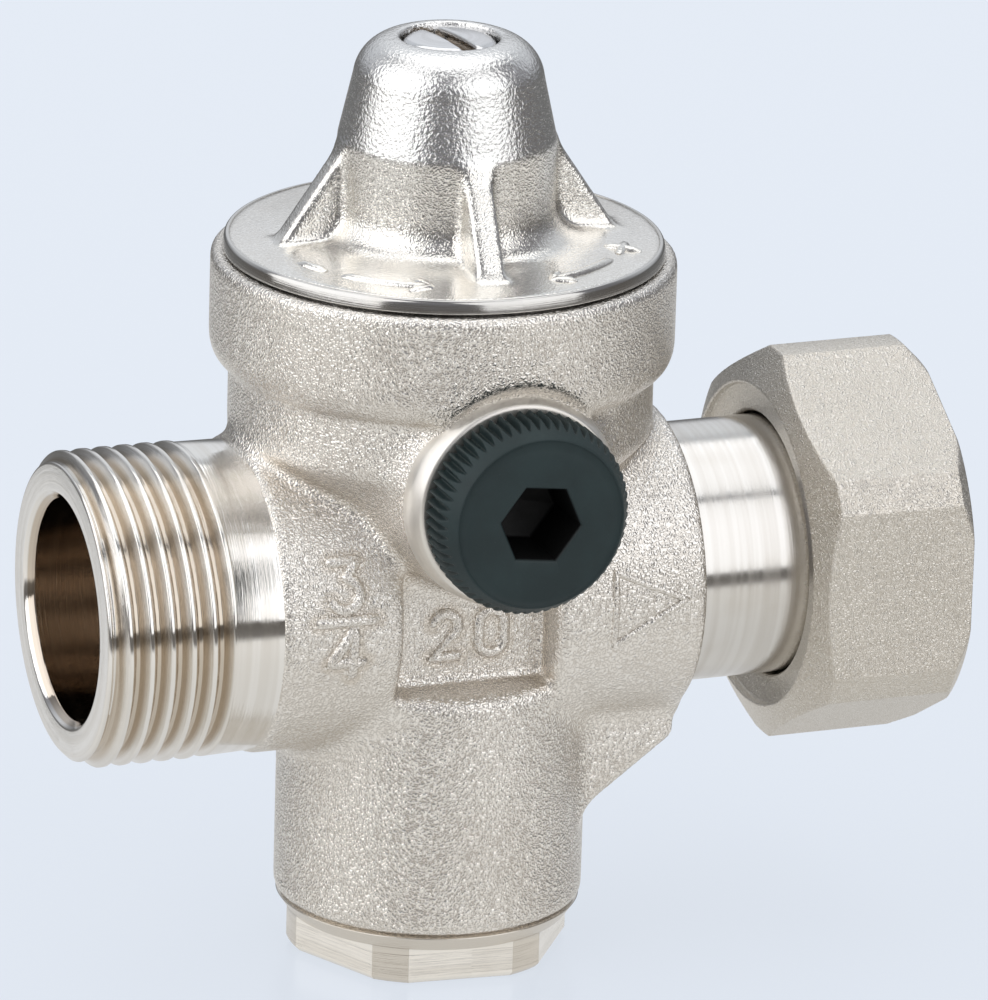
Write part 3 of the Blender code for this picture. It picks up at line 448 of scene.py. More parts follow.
def bakeCarrier(carrier):  # the plain mesh that a carrier's modifier makes
    mesh = carrier.data
    name = mesh.name
    evaluated = carrier.evaluated_get(bpy.context.evaluated_depsgraph_get())
    baked = bpy.data.meshes.new_from_object(evaluated)
    bpy.data.objects.remove(carrier)
    bpy.data.meshes.remove(mesh)
    baked.name = name
    baked.shade_smooth()
    return baked


def sweptMesh(name, points, edges, thickness, finish):
    mesh = bpy.data.meshes.new(name)
    mesh.from_pydata([tuple(map(float, point)) for point in points], edges, [])
    return bakeNodes(mesh, bead, {"Thickness": thickness}, finish)


def thinHidden(mesh, hidden, share):  # leaves a share of the triangles on the inner walls
    carrier = addObject(mesh)
    carrier.vertex_groups.new(name="hidden").add(np.flatnonzero(hidden).tolist(), 1.0, "REPLACE")
    thin = carrier.modifiers.new("thin", "DECIMATE")
    thin.vertex_group = "hidden"
    thin.ratio = 1 - float(hidden.mean()) * (1 - share)
    return bakeCarrier(carrier)


bead = beadTree()


# Shaders
def rampNode(tree, source, stops):
    node = addNode(tree, "ShaderNodeValToRGB", [source])
    ramp = node.color_ramp
    while len(ramp.elements) < len(stops):
        ramp.elements.new(0.5)
    for element, (place, colour) in zip(ramp.elements, stops):
        element.position = place
        element.color = (*colour, 1)
    return node.outputs["Color"]


def mixColour(tree, share, first, second):
    return addNode(tree, "ShaderNodeMix", {0: share, 6: first, 7: second}, data_type="RGBA").outputs[2]


def noiseNode(tree, vector, scale, detail=3.0, rough=0.55):
    inputs = {"Vector": vector, "Scale": scale, "Detail": detail, "Roughness": rough}
    return nodeValue(tree, addNode(tree, "ShaderNodeTexNoise", inputs).outputs["Fac"])


def hollowMask(tree):
    return nodeValue(tree, addNode(tree, "ShaderNodeAttribute", attribute_name="hollow").outputs["Fac"])


def effectGroup(name, inputs, outputs):
    return newGroup(name, "ShaderNodeTree", inputs, [(label, "Float", None) for label in outputs])


def groupNode(tree, group, inputs):
    node = addNode(tree, "ShaderNodeGroup", inputs, node_tree=group)
    return {socket.name: nodeValue(tree, socket) for socket in node.outputs}


def castGrainGroup():  # blasted skin: round bumps parted by fine creases, masks for painted glints on their tips and painted shade in their pits, and broad clouds
    inputs = [("Vector", "Vector", (0, 0, 0)), ("Grain", "Float", 1800.0)]
    tree, source = effectGroup("castGrain", inputs, ("Height", "GlintTips", "PitShade", "Cloud"))
    vector, grain = source["Vector"], source["Grain"]
    bumps = abs(noiseNode(tree, vector, grain, 1.0, 0.5) - 0.5) * 2
    lumps = noiseNode(tree, vector, grain * 0.4, 1.0, 0.5)
    addNode(tree, "NodeGroupOutput", {
        "Height": lumps.reckon("MULTIPLY_ADD", 0.25, bumps), "GlintTips": bumps.smooth(0.18, 0.5),
        "PitShade": 1 - bumps.smooth(0.0, 0.17), "Cloud": noiseNode(tree, vector, 130.0),
    })
    return tree


def toolLinesGroup():  # turning marks: rings along an axis and across an end face
    inputs = [("Along", "Float", 0.0), ("Around", "Float", 0.0), ("Lines", "Float", 4000.0)]
    tree, source = effectGroup("toolLines", inputs, ("Height", "Tone"))
    along, around, lines = source.values()
    place = addNode(tree, "ShaderNodeCombineXYZ", [along * lines, around * (lines * 0.02)]).outputs[0]
    fine = noiseNode(tree, place, 1.0, 3.0, 0.7)
    broad = noiseNode(tree, place, 0.17, 2.0, 0.5)
    addNode(tree, "NodeGroupOutput", {"Height": fine * 0.7 + broad * 0.3, "Tone": broad.smooth(0.3, 0.7)})
    return tree


castGrain = castGrainGroup()
toolLines = toolLinesGroup()


def newMaterial(name, metallic, look):
    material = bpy.data.materials.new(name)
    material.use_nodes = True
    tree = material.node_tree
    shader = tree.nodes["Principled BSDF"]
    setSockets(tree, shader, {"Metallic": metallic, "Roughness": look["rough"], "Base Color": look["light"]})
    return material, tree, shader, tree.nodes.new("ShaderNodeTexCoord").outputs["Object"]


def finishMaterial(tree, shader, look, tone, rough, height):
    inputs = {"Strength": look["bump"], "Distance": look["depth"], "Height": height}
    bump = addNode(tree, "ShaderNodeBump", inputs).outputs[0]
    setSockets(tree, shader, {"Base Color": tone, "Roughness": rough, "Normal": bump})


def castMaterial(name, look):  # blasted casting with tarnish and painted shade in its hollows, painted glints on its grain tips and painted shade in its pits, smoother above a knee if it has one
    material, tree, shader, place = newMaterial(name, 1.0, look)
    grain = groupNode(tree, castGrain, {"Vector": place, "Grain": look["grain"]})
    hollow = hollowMask(tree).smooth(look["hollowFrom"], look["hollowTo"])
    tone = mixColour(tree, grain["Cloud"].smooth(0.35, 0.68), look["light"], look["shade"])
    # tarnish and painted shade in hollows and creases, from the hollow mask
    tone = mixColour(tree, hollow * look["hollow"], tone, look["tarnishAndShade"])
    # painted shade in the pits of the grain
    tone = mixColour(tree, grain["PitShade"] * look["pitShadeShare"], tone, look["dark"])
    # painted glints on the tips of the grain
    tone = mixColour(tree, grain["GlintTips"] * look["glintShare"], tone, look["bright"])
    rough = look["rough"] - grain["GlintTips"] * look["tipGloss"]
    height = grain["Height"]
    if "knee" in look:
        rise = splitAxes(tree, place)[2]
        above = rise.smooth(look["knee"] - 0.0004, look["knee"] + 0.0004)
        flat = 1 - rise.smooth(look["shelf"], look["shelf"] + 0.0015)
        coarse = 1 - above - flat * look["shelfCalm"]
        peel = noiseNode(tree, place, look["peel"], 2.0, 0.5)
        height = coarse * height + above * (peel * look["peelHeight"])
        tone = mixColour(tree, above, tone, look["polish"])
        rough = rough - above * look["polishGloss"]
    finishMaterial(tree, shader, look, tone, rough, height)
    return material


def turnedMaterial(name, look):  # machined metal, with rings about the given axis
    material, tree, shader, place = newMaterial(name, 1.0, look)
    shift = addNode(tree, "ShaderNodeVectorMath", [place, look["centre"]], operation="SUBTRACT")
    axes = dict(zip("xyz", splitAxes(tree, shift.outputs[0])))
    along = axes.pop(look["axis"])
    first, second = axes.values()
    ring = along + (first * first + second * second).reckon("SQRT") * look["facing"]
    around = first.reckon("ARCTAN2", second) * 0.01
    marks = groupNode(tree, toolLines, {"Along": ring, "Around": around, "Lines": look["lines"]})
    tone = mixColour(tree, marks["Tone"], look["light"], look["shade"])
    stain = noiseNode(tree, place, 160.0).smooth(0.5, 0.75)
    tone = mixColour(tree, stain * look["stain"], tone, look["tarnishAndShade"])
    # tarnish and painted shade where the hollow mask is high; where it is highest, in bores and slots, the
    # darker bore colour
    if "hollowFrom" in look:
        hollow = hollowMask(tree)
        tone = mixColour(tree, hollow.smooth(look["hollowFrom"], look["hollowTo"]), tone, look["tarnishAndShade"])
        tone = mixColour(tree, hollow.smooth(0.75, 0.95), tone, look["bore"])
    rough = marks["Tone"] * look["roughSpread"] + look["rough"]
    finishMaterial(tree, shader, look, tone, rough, marks["Height"])
    return material


def mouldedMaterial(name, look):  # plastic, rubber and fibre with a fine moulded skin
    material, tree, shader, place = newMaterial(name, 0.0, look)
    shader.inputs["Specular IOR Level"].default_value = look["sheen"]
    fine = noiseNode(tree, place, look["grain"], 4.0, 0.6)
    tone = mixColour(tree, noiseNode(tree, place, 220.0).smooth(0.3, 0.7), look["light"], look["shade"])
    tone = mixColour(tree, fine.smooth(0.62, 0.8) * look["dust"], tone, look["bright"])
    # painted shade where the hollow mask is set, such as inside the plug's socket
    if "socketShade" in look:
        tone = mixColour(tree, hollowMask(tree), tone, look["socketShade"])
    finishMaterial(tree, shader, look, tone, (fine - 0.5) * 0.3 + look["rough"], fine)
    return material


# tarnishAndShade is tarnish and painted shade in hollows; bright is a painted glint on grain tips and dark is
# painted shade in the pits
castLooks = {
    "castNickel": dict(
        light=(0.90, 0.87, 0.825), shade=(0.84, 0.805, 0.755), tarnishAndShade=(0.66, 0.575, 0.465),
        bright=(1.0, 0.985, 0.96), dark=(0.56, 0.515, 0.46), rough=0.27, grain=2900.0, glintShare=0.5, pitShadeShare=0.6,
        tipGloss=0.05, bump=1.0, depth=0.00011, hollow=0.5, hollowFrom=0.15, hollowTo=0.75,
    ),
    "bonnetNickel": dict(
        light=(0.90, 0.885, 0.85), shade=(0.85, 0.825, 0.78), tarnishAndShade=(0.64, 0.56, 0.46),
        bright=(1.0, 0.99, 0.97), dark=(0.58, 0.54, 0.49), rough=0.18, grain=3200.0, glintShare=0.25, pitShadeShare=0.3,
        tipGloss=0.03, bump=0.5, depth=0.0001, hollow=0.6, hollowFrom=0.18, hollowTo=0.8,
        knee=float(pipeZ + 38.3) * mm, peel=3300.0, peelHeight=1.7, polish=(0.84, 0.835, 0.825),
        polishGloss=-0.02, shelf=float(pipeZ + 30.2) * mm, shelfCalm=0.55,
    ),
    "nutNickel": dict(
        light=(0.79, 0.75, 0.685), shade=(0.765, 0.725, 0.66), tarnishAndShade=(0.55, 0.47, 0.37),
        bright=(0.90, 0.88, 0.84), dark=(0.50, 0.45, 0.38), rough=0.31, grain=4400.0, glintShare=0.45, pitShadeShare=0.6,
        tipGloss=0.05, bump=0.7, depth=0.00012, hollow=0.8, hollowFrom=0.25, hollowTo=0.9,
    ),
}
tailLook = dict(
    light=(0.76, 0.745, 0.72), shade=(0.68, 0.655, 0.62), tarnishAndShade=(0.55, 0.49, 0.42), stain=0.2, rough=0.13,
    roughSpread=0.08, lines=7000.0, bump=0.30, depth=0.00005, axis="x", centre=pipeCentre, facing=1.7,
)
uprightLook = dict(tailLook, axis="z")
turnedLooks = {
    "threadNickel": dict(
        tailLook, light=(0.90, 0.885, 0.86), shade=(0.82, 0.795, 0.755), tarnishAndShade=(0.63, 0.56, 0.475),
        bore=(0.58, 0.505, 0.43), stain=0.12, rough=0.06, roughSpread=0.06, depth=0.00008,
        hollowFrom=0.15, hollowTo=0.45,
    ),
    "tailNickel": tailLook,
    "rimNickel": dict(
        uprightLook, light=(0.66, 0.65, 0.63), shade=(0.58, 0.57, 0.55), rough=0.12, lines=8000.0,
    ),
    "seatNickel": dict(
        tailLook, light=(0.84, 0.815, 0.77), shade=(0.76, 0.73, 0.68), rough=0.34, lines=2500.0, bump=0.15,
        axis="y", centre=gaugeCentre,
    ),
    "basePlugNickel": dict(
        uprightLook, facing=0.0, rough=0.20, light=(1.0, 0.97, 0.92), shade=(0.94, 0.905, 0.845),
        tarnishAndShade=(0.76, 0.715, 0.65), bore=(0.76, 0.715, 0.65), hollowFrom=0.1, hollowTo=0.4, lines=4200.0,
        bump=0.6, depth=0.00006,
    ),
    # painted shade: brown in the slot's corners and near black deep in the slot, through the hollow mask
    "screwSteel": dict(
        uprightLook, light=(0.82, 0.82, 0.83), shade=(0.74, 0.74, 0.745), tarnishAndShade=(0.34, 0.27, 0.19),
        bore=(0.12, 0.09, 0.06), stain=0.0, rough=0.10, bump=0.12, hollowFrom=0.2, hollowTo=0.5,
    ),
    "innerBrass": dict(uprightLook, rough=0.25, light=(0.78, 0.66, 0.42), shade=(0.70, 0.58, 0.36)),
    "springSteel": dict(uprightLook, rough=0.32, light=(0.40, 0.40, 0.42), shade=(0.30, 0.30, 0.32)),
}
mouldedLooks = {
    "plugPlastic": dict(
        light=(0.014, 0.026, 0.027), shade=(0.011, 0.020, 0.021), bright=(0.045, 0.065, 0.065),
        socketShade=(0.002, 0.002, 0.002), dust=0.35, sheen=0.3, rough=0.50, grain=5200.0, bump=0.18, depth=0.00006,
    ),
    "sealRubber": dict(
        light=(0.018, 0.018, 0.018), shade=(0.012, 0.012, 0.012), bright=(0.05, 0.05, 0.05), dust=0.3,
        sheen=0.5, rough=0.6, grain=4200.0, bump=0.2, depth=0.00006,
    ),
    "slickBand": dict(
        light=(0.78, 0.78, 0.75), shade=(0.70, 0.70, 0.67), bright=(0.9, 0.9, 0.88), dust=0.2,
        sheen=0.5, rough=0.45, grain=3000.0, bump=0.1, depth=0.00005,
    ),
    "gasketFibre": dict(
        light=(0.36, 0.10, 0.065), shade=(0.27, 0.07, 0.05), bright=(0.50, 0.22, 0.15), dust=0.8,
        sheen=0.4, rough=0.75, grain=3600.0, bump=0.5, depth=0.0001,
    ),
}
looksByMaker = {castMaterial: castLooks, turnedMaterial: turnedLooks, mouldedMaterial: mouldedLooks}
for makeFinish, looks in looksByMaker.items():
    finishes.update({name: makeFinish(name, look) for name, look in looks.items()})
print("materials made:", len(finishes))


# Raised marks
def arcPoints(centreU, centreV, radius, first, last, count=11):
    turns = np.radians(np.linspace(first, last, count))
    return [(centreU + radius * math.cos(t), centreV + radius * math.sin(t)) for t in turns]


def finely(points):  # extra points along a line, and more of them near its corners
    rows = []
    for first, last in zip(points, points[1:]):
        for share in (0.0, 0.08, 0.2, 0.35, 0.5, 0.65, 0.8, 0.92):
            rows.append(tuple(np.array(first) * (1 - share) + np.array(last) * share))
    return rows + [points[-1]]


digits = {  # strokes of plain numbers one unit high, centred on their middle
    "2": [arcPoints(0.0, 0.20, 0.29, 165, -35) + finely([(-0.30, -0.48), (0.32, -0.48)])],
    "0": [arcPoints(0.0, 0.19, 0.29, 0, 180) + arcPoints(0.0, -0.19, 0.29, 180, 360) + [(0.29, 0.19)]],
    "3": [finely([(-0.28, 0.48), (0.26, 0.48), (0.0, 0.12)])[:-1] + arcPoints(-0.03, -0.18, 0.31, 75, -155)],
    "4": [finely([(0.14, 0.50), (0.14, -0.50)]), finely([(0.12, 0.50), (-0.33, -0.18), (0.36, -0.18)])],
}


def digitStrokes(sign, height, centreU, centreV):
    return [[(centreU + a * height, centreV + b * height) for a, b in stroke] for stroke in digits[sign]]


def layBeads(name, strokes, thickness, finish, slot):  # each stroke is a list of (point, outward)
    points, edges = [], []
    for stroke in strokes:
        loop = np.linalg.norm(stroke[0][0] - stroke[-1][0]) < 0.01
        start = len(points)
        for step, (point, away) in enumerate(stroke[:-1] if loop else stroke):
            end = not loop and step in (0, len(stroke) - 1)
            points.append(point - away * thickness * (0.75 if end else 0.3))  # sunk into the metal
        edges += [(i, i + 1) for i in range(start, len(points) - 1)]
        if loop:
            edges.append((len(points) - 1, start))
    addPiece(sweptMesh(name, points, edges, thickness, finish), onPipeAxis, finish, slot, "valve")


casting = dict(
    voxel=0.31, softPasses=2, maskReach=2.4, hiddenDepth=0.4, hiddenShare=0.08,
    boss=13.3, bossEnd=-18.1, bossFillet=1.8,
    barrel=13.0, coneLow=8.7, neck=17.7, neckLow=13.7, neckTop=18.9, ringLow=21.3,
    webHalf=7.4, webTop=13.7, webFoot=19.9, webFillet=1.2,
    pocketLeft=-7.3, pocketRight=6.0, pocketFloor=9.7, pocketTop=6.5, pocketFront=16, pocketFillet=1.3,
    ledge=-6.1, ledgeFall=1.2,
    gaugeBoss=8.7, gaugeRoot=9.9, gaugeFace=19.0, gaugeEdge=0.3, gaugeFillet=1.8,
    gaugeThread=6.58, gaugeDepth=4.9, gaugeRecess=7.5, gaugeRecessDepth=2.2, gaugePort=1.6,
    plugRoom=10.1, plugRoomDepth=1.2, plugRoomFlare=0.7, plugRoomEase=0.5,
    inletBore=9.2, inletBlind=-9.6, tailSocket=11.17, tailSocketDepth=6, outletBore=8.0, outletBlind=11.6,
    portRadius=4.2, portRise=4.7, portReach=14,
    cavity=[  # radius and height of the bore's steps, from the plug up to the bonnet
        (10.6, -19.8), (9.4, -19.8), (9.4, -11.5), (7.2, -10.4), (7.2, -2.2), (6.4, -2.2),
        (6.4, 2.2), (7.4, 2.2), (7.4, 17.6), (12.6, 17.6), (12.6, 23.4), (16.5, 23.4),
    ],
    markThickness=0.55, arrowThickness=0.34, markShade=0.6,
    arrow=[(11.1, 17.5), (17.4, 20.35), (11.1, 23.9), (11.1, 17.5)],
    fractionBar=[(-15.1, 19.4), (-10.1, 19.4)],
    fraction={"3": -16.4, "4": -22.3}, fractionSize=4.2, fractionStation=-12.6,  # signs and their levels
    number={"2": -2.7, "0": 1.4}, numberSize=3.9, numberLevel=-1.9,  # signs and their stations
)


def bodyField(x, y, z, rUp, rPipe, rGauge):  # the casting before its holes are cut
    c = casting
    outletEnd, ring = bodyHigh[:2]
    sweep, drop = ring - c["neck"] - 0.2, c["ringLow"] - c["neckTop"] - 0.1
    quarter = np.linspace(math.pi / 2, 0, 9)  # the ring rounds off towards the neck
    under = [(ring - sweep * (1 - math.cos(t)), c["ringLow"] - drop * math.sin(t)) for t in quarter]
    core = outlineDistance(rUp, z, [
        (-far, barrelLow), (c["barrel"], barrelLow), (c["barrel"], c["coneLow"]), (c["neck"], c["neckLow"]),
        (c["neck"], c["neckTop"]), *under, (ring, ringTop), (-far, ringTop),
    ])
    field = join(core, tube(rPipe, x, c["boss"], c["bossEnd"], outletEnd), c["bossFillet"])
    footX = math.sqrt(c["barrel"] ** 2 - c["webHalf"] ** 2)
    tipX = outletEnd - 0.3
    inward = 4  # the web's foot goes on into the barrel
    webLow = -c["webFoot"] - inward * (c["webFoot"] - c["webTop"]) / (tipX - footX)
    web = outlineDistance(x, z, [
        (0, -2), (tipX, -2), (tipX, -c["webTop"]), (footX - inward, webLow), (0, webLow),
    ])
    field = join(field, np.maximum(web, np.abs(y) - c["webHalf"]), c["webFillet"])
    pocket = outlineDistance(y, z, [
        (-c["pocketFloor"], c["ledge"]), (-c["pocketFloor"], c["pocketTop"]),
        (-c["pocketFront"], c["pocketTop"]), (-c["pocketFront"], c["ledge"] - c["ledgeFall"]),
    ])
    pocket = np.maximum(pocket, np.maximum(c["pocketLeft"] - x, x - c["pocketRight"]))
    field = cut(field, pocket, c["pocketFillet"])
    face, edge = c["gaugeFace"], c["gaugeEdge"]
    gauge = outlineDistance(rGauge, -y, [
        (-far, 0), (c["gaugeRoot"], 0), (c["gaugeRoot"], c["pocketFloor"]),
        (c["gaugeBoss"], face - edge), (c["gaugeBoss"] - edge, face), (-far, face),
    ])
    return join(field, gauge, c["gaugeFillet"])


def boreField(x, y, z, field, rUp, rPipe, rGauge):  # machined holes, after the casting is softened
    c = casting
    first, last, face = c["cavity"][0][0], c["cavity"][-1][0], c["gaugeFace"]
    field = np.maximum(field, -outlineDistance(rUp, z, [
        (-far, barrelLow - 3), (first, barrelLow - 3), *c["cavity"], (last, ringTop + 3), (-far, ringTop + 3),
    ]))
    rLow, rHigh = (np.sqrt(y * y + (z + rise) ** 2) for rise in (c["portRise"], -c["portRise"]))
    for hole in (
        (rPipe, x, c["inletBore"], -far, c["inletBlind"]),
        (rPipe, x, c["tailSocket"], bodyHigh[0] - c["tailSocketDepth"], far),
        (rPipe, x, c["outletBore"], c["outletBlind"], far),
        (rLow, x, c["portRadius"], -c["portReach"], 0),
        (rHigh, x, c["portRadius"], 0, c["portReach"]),
        (rGauge, -y, c["gaugeThread"], face - c["gaugeDepth"], far),
        (rGauge, -y, c["gaugeRecess"], face - c["gaugeRecessDepth"], far),
    ):
        field = np.maximum(field, -tube(*hole))
    flared = rGauge - c["plugRoomFlare"] * (-y - face)
    field = cut(field, tube(flared, -y, c["plugRoom"], face - c["plugRoomDepth"], far), c["plugRoomEase"])
    return np.maximum(field, -tube(rGauge, -y, c["gaugePort"], 0, face))


def markBody(mesh):  # flow arrow and plain size numbers, with a little tarnish and painted shade beside the numbers
    c = casting
    radius = c["boss"]

    def onBoss(stroke):  # stations along the pipe, and lengths round the boss from its top
        rows = []
        for u, arc in stroke:
            away = np.array((0, -math.sin(arc / radius), math.cos(arc / radius)))
            rows.append((np.array((u, 0, 0)) + away * radius, away))
        return rows

    strokes = [onBoss(finely(c["fractionBar"]))]
    for sign, level in c["fraction"].items():
        for stroke in digitStrokes(sign, c["fractionSize"], c["fractionStation"], level):
            strokes.append(onBoss([(u, -v) for u, v in stroke]))
    front = np.array((0, -1, 0))
    for sign, station in c["number"].items():
        for stroke in digitStrokes(sign, c["numberSize"], station, c["numberLevel"]):
            strokes.append([(np.array((u, -c["pocketFloor"], v)), front) for u, v in stroke])
    layBeads("bodyMarks", strokes, c["markThickness"], "castNickel", "cast_nickel")
    layBeads("flowArrow", [onBoss(finely(c["arrow"]))], c["arrowThickness"], "castNickel", "cast_nickel")
    tree = KDTree(sum(map(len, strokes)))
    for index, (point, _) in enumerate(place for stroke in strokes for place in stroke):
        tree.insert(point, index)
    tree.balance()
    points = vertexPoints(mesh)
    mask = mesh.attributes["hollow"]
    values = np.zeros(len(points), np.float32)
    mask.data.foreach_get("value", values)
    # painted shade and tarnish in the creases beside the raised numbers, through the hollow mask
    for index in np.flatnonzero((points[:, 1] < -5) & (np.abs(points[:, 2]) < radius)):
        apart = tree.find(points[index])[2]
        values[index] = max(values[index], c["markShade"] * min(1.0, 2.2 - 1.6 * apart))
    mask.data.foreach_set("value", values)


def makeCasting():
    c = casting
    outletEnd, ring = bodyHigh[:2]
    low = (min(c["bossEnd"], -ring), -ring, barrelLow)
    x, y, z, origin = gridOver(low, (outletEnd, ring, ringTop), c["voxel"])
    radii = [np.sqrt(x * x + y * y), np.sqrt(y * y + z * z), np.sqrt(x * x + (z - gaugeZ) ** 2)]
    solid = soften(bodyField(x, y, z, *radii), c["softPasses"])
    field = boreField(x, y, z, solid, *radii)
    mesh = castMesh("bodyCasting", field, origin, c["voxel"], c["maskReach"])
    hidden = sampleField(solid, origin, c["voxel"], vertexPoints(mesh)) < -c["hiddenDepth"]
    mesh = thinHidden(mesh, hidden, c["hiddenShare"])
    markBody(mesh)
    addPiece(mesh, onPipeAxis, "castNickel", "cast_nickel", "valve", "valve_body")
    print("body cast with", len(mesh.polygons), "faces")


makeCasting()

inletEnd = dict(
    root=17.6, collar=13.0, collarEnd=21.9, crest=13.22, bore=9.2, mouth=0.75, lead=1.0,
    pitch=1.814, depth=1.16, columns=288, rowsPerTurn=26,
)


def markHollows(mesh, crest, depth, end, bore=0.0):  # partly hollow in thread grooves, wholly in the bore, for painted shade and tarnish there
    points = vertexPoints(mesh) / mm
    radius = np.hypot(points[:, 0], points[:, 1])
    hollow = 0.6 * np.clip(np.abs(crest - radius) / depth, 0, 1)
    hollow[(np.abs(radius - crest) > depth * 1.2) | (points[:, 2] > end)] = 0
    hollow[radius < bore] = 1
    setHollow(mesh, hollow)


def makeInletThread():
    e = inletEnd
    reach, crest, bore, lead, collarEnd = -bodyLow[0], e["crest"], e["bore"], e["lead"], e["collarEnd"]
    root, width = e["root"], e["collar"]
    collar = easedOutline([(bore, root, 0.05), (width, root, 0.05), (width, collarEnd, 0.08)])
    outer = easedOutline([
        (width, collarEnd, 0.1), (crest, collarEnd + 0.3, 0.1), (crest, reach - lead, 0.1),
        (crest - lead, reach, 0.15), (bore + e["mouth"], reach, 0.15), (bore, reach - e["mouth"], 0.15),
    ])
    count = int((reach - collarEnd) / e["pitch"] * e["rowsPerTurn"])
    wall = [(crest, h) for h in np.linspace(collarEnd + 0.45, reach - lead - 0.15, count)]
    chamfer = [(crest - lead * s, reach - lead + lead * s) for s in np.linspace(0.15, 0.85, 8)]
    profile = collar[:10] + outer[5:10] + wall + outer[10:15] + chamfer + outer[15:]
    mesh = turnedMesh("inletThread", profile, evenAngles(e["columns"]))
    sizes = {
        "Pitch": e["pitch"] * mm, "Depth": e["depth"] * mm, "Wall": (crest - 0.3) * mm, "Run Out": 0.6 * mm,
        "Start": (collarEnd + 0.1) * mm, "End": (reach - 0.1) * mm, "Crest": 0.16, "Root": 0.2,
    }
    mesh = bakeNodes(mesh, threadTree(), sizes, "threadNickel")
    markHollows(mesh, crest, e["depth"], reach - 0.7 * lead, bore + 0.3)
    addPiece(mesh, alongInlet, "threadNickel", "cast_nickel", "valve")
    print("inlet thread cut")


makeInletThread()

bonnetShape = dict(
    voxel=0.26, softPasses=1, maskReach=2.4, flange=1.9, edge=0.4, rimHeight=1.3,
    dome=9.1, coneRise=38.3, topRadius=7.95, crown=3.7, domeFillet=2.9,
    bore=6.6, ceiling=42.4, screwHole=4.16,
    ribTop=38.0, ribFoot=14.3, ribHalf=1.2, ribDraft=0.03, ribTurn=-94.5, ribFillet=0.9, ribRound=0.5,
    skirt=16.3, skirtWall=2.6, markRadius=15.0, markThickness=0.5, markSpread=62, columns=200,
)


def markBonnet(edge, level, slope):  # plus and minus signs, each with an arrow for the way to turn
    b = bonnetShape
    middle = b["markRadius"]

    def around(turn, reach):
        turn = math.radians(turn)
        place = np.array((reach * math.cos(turn), reach * math.sin(turn), level + (edge - reach) * slope))
        return place, np.array((0, 0, 1))

    strokes = []
    for sign, way in ((b["ribTurn"] + b["markSpread"], -1), (b["ribTurn"] - b["markSpread"], 1)):
        strokes.append([around(sign + t, middle) for t in np.linspace(-5.5, 5.5, 6)])
        if way < 0:
            strokes.append([around(sign, middle + s) for s in np.linspace(-1.4, 1.4, 6)])
        tip = sign + way * 42
        strokes.append([around(t, middle) for t in np.linspace(sign + way * 13, tip, 12)])
        for side in (-1, 1):
            strokes.append([around(tip - way * 5 * s, middle + side * s) for s in np.linspace(0, 1.1, 5)])
    layBeads("bonnetMarks", strokes, b["markThickness"], "bonnetNickel", "bright_nickel")


def makeBonnet():
    b = bonnetShape
    rim, top = bonnetHigh[0], bonnetHigh[2] - pipeZ
    x, y, z, origin = gridOver((-rim, -rim, ringTop), (rim, rim, top), b["voxel"])
    radius = np.sqrt(x * x + y * y)
    flangeTop, edge, edgeTop = ringTop + b["flange"], rim - b["edge"], ringTop + b["rimHeight"]
    slope = (flangeTop - edgeTop) / (edge - b["dome"])
    flange = outlineDistance(radius, z, [
        (-far, ringTop + 0.4), (edge, ringTop + 0.4), (edge, edgeTop), (-far, edgeTop + slope * (edge + far)),
    ])
    crown = arcPoints(b["topRadius"] - b["crown"], top - b["crown"], b["crown"], 5, 90)
    dome = outlineDistance(radius, z, [
        (-far, ringTop), (b["dome"], ringTop), (b["dome"], b["coneRise"]), *crown, (-far, top),
    ])
    field = join(flange, dome, b["domeFillet"])
    rise, reach = b["ribTop"] - flangeTop, b["ribFoot"] - b["dome"]
    for quarter in range(4):
        turn = math.radians(b["ribTurn"] + 90 * quarter)
        outward = x * math.cos(turn) + y * math.sin(turn)
        side = -x * math.sin(turn) + y * math.cos(turn)
        rib = outlineDistance(outward, z, [
            (4, ringTop + 0.8), (b["ribFoot"], ringTop + 0.8), (b["ribFoot"], flangeTop),
            (b["dome"], b["ribTop"]), (4, b["ribTop"]),
        ])
        under = ((b["ribFoot"] - outward) * rise + (flangeTop - z) * reach) / math.hypot(rise, reach)
        flanks = np.abs(side) - b["ribHalf"] - b["ribDraft"] * np.clip(under, 0, 5)
        field = join(field, meet(rib, flanks, b["ribRound"]), b["ribFillet"])
    field = soften(field, b["softPasses"])
    for hole, ceiling in ((b["bore"], b["ceiling"]), (b["screwHole"], 2 * far)):
        field = np.maximum(field, -tube(radius, z, hole, 0, ceiling))
    mesh = castMesh("bonnetCasting", field, origin, b["voxel"], b["maskReach"])
    addPiece(mesh, onPipeAxis, "bonnetNickel", "bright_nickel", "valve", "bonnet")
    markBonnet(edge, edgeTop, slope)
    inner, skirt, skirtLow = b["bore"] + 0.4, b["skirt"], bonnetLow[2] - pipeZ
    outline = easedOutline([
        (inner, ringTop + 0.2, 0.05), (skirt - b["skirtWall"], ringTop + 0.2, 0.1),
        (skirt - b["skirtWall"], skirtLow, 0.2), (skirt, skirtLow, 0.2), (skirt, ringTop + 0.2, 0.1),
        (rim, ringTop + 0.2, 0.12), (rim - 0.14, edgeTop - 0.2, 0.1), (edge + 0.1, edgeTop + 0.02, 0.1),
        (edge - 0.15, edgeTop + 0.02, 0.05), (edge - 0.2, ringTop + 0.7, 0.05), (inner, ringTop + 0.7, 0.05),
    ])
    turnPiece("bonnetRim", outline, b["columns"], upright, "rimNickel", "bright_nickel", "valve")
    print("bonnet cast and its rim turned")


makeBonnet()

screwShape = dict(
    voxel=0.13, maskReach=1.0, radius=3.9, crown=0.25, edge=0.4, point=2.2,
    slotHalf=0.65, slotDepth=1.5, slotTurn=99.5, slotEase=0.25,
)


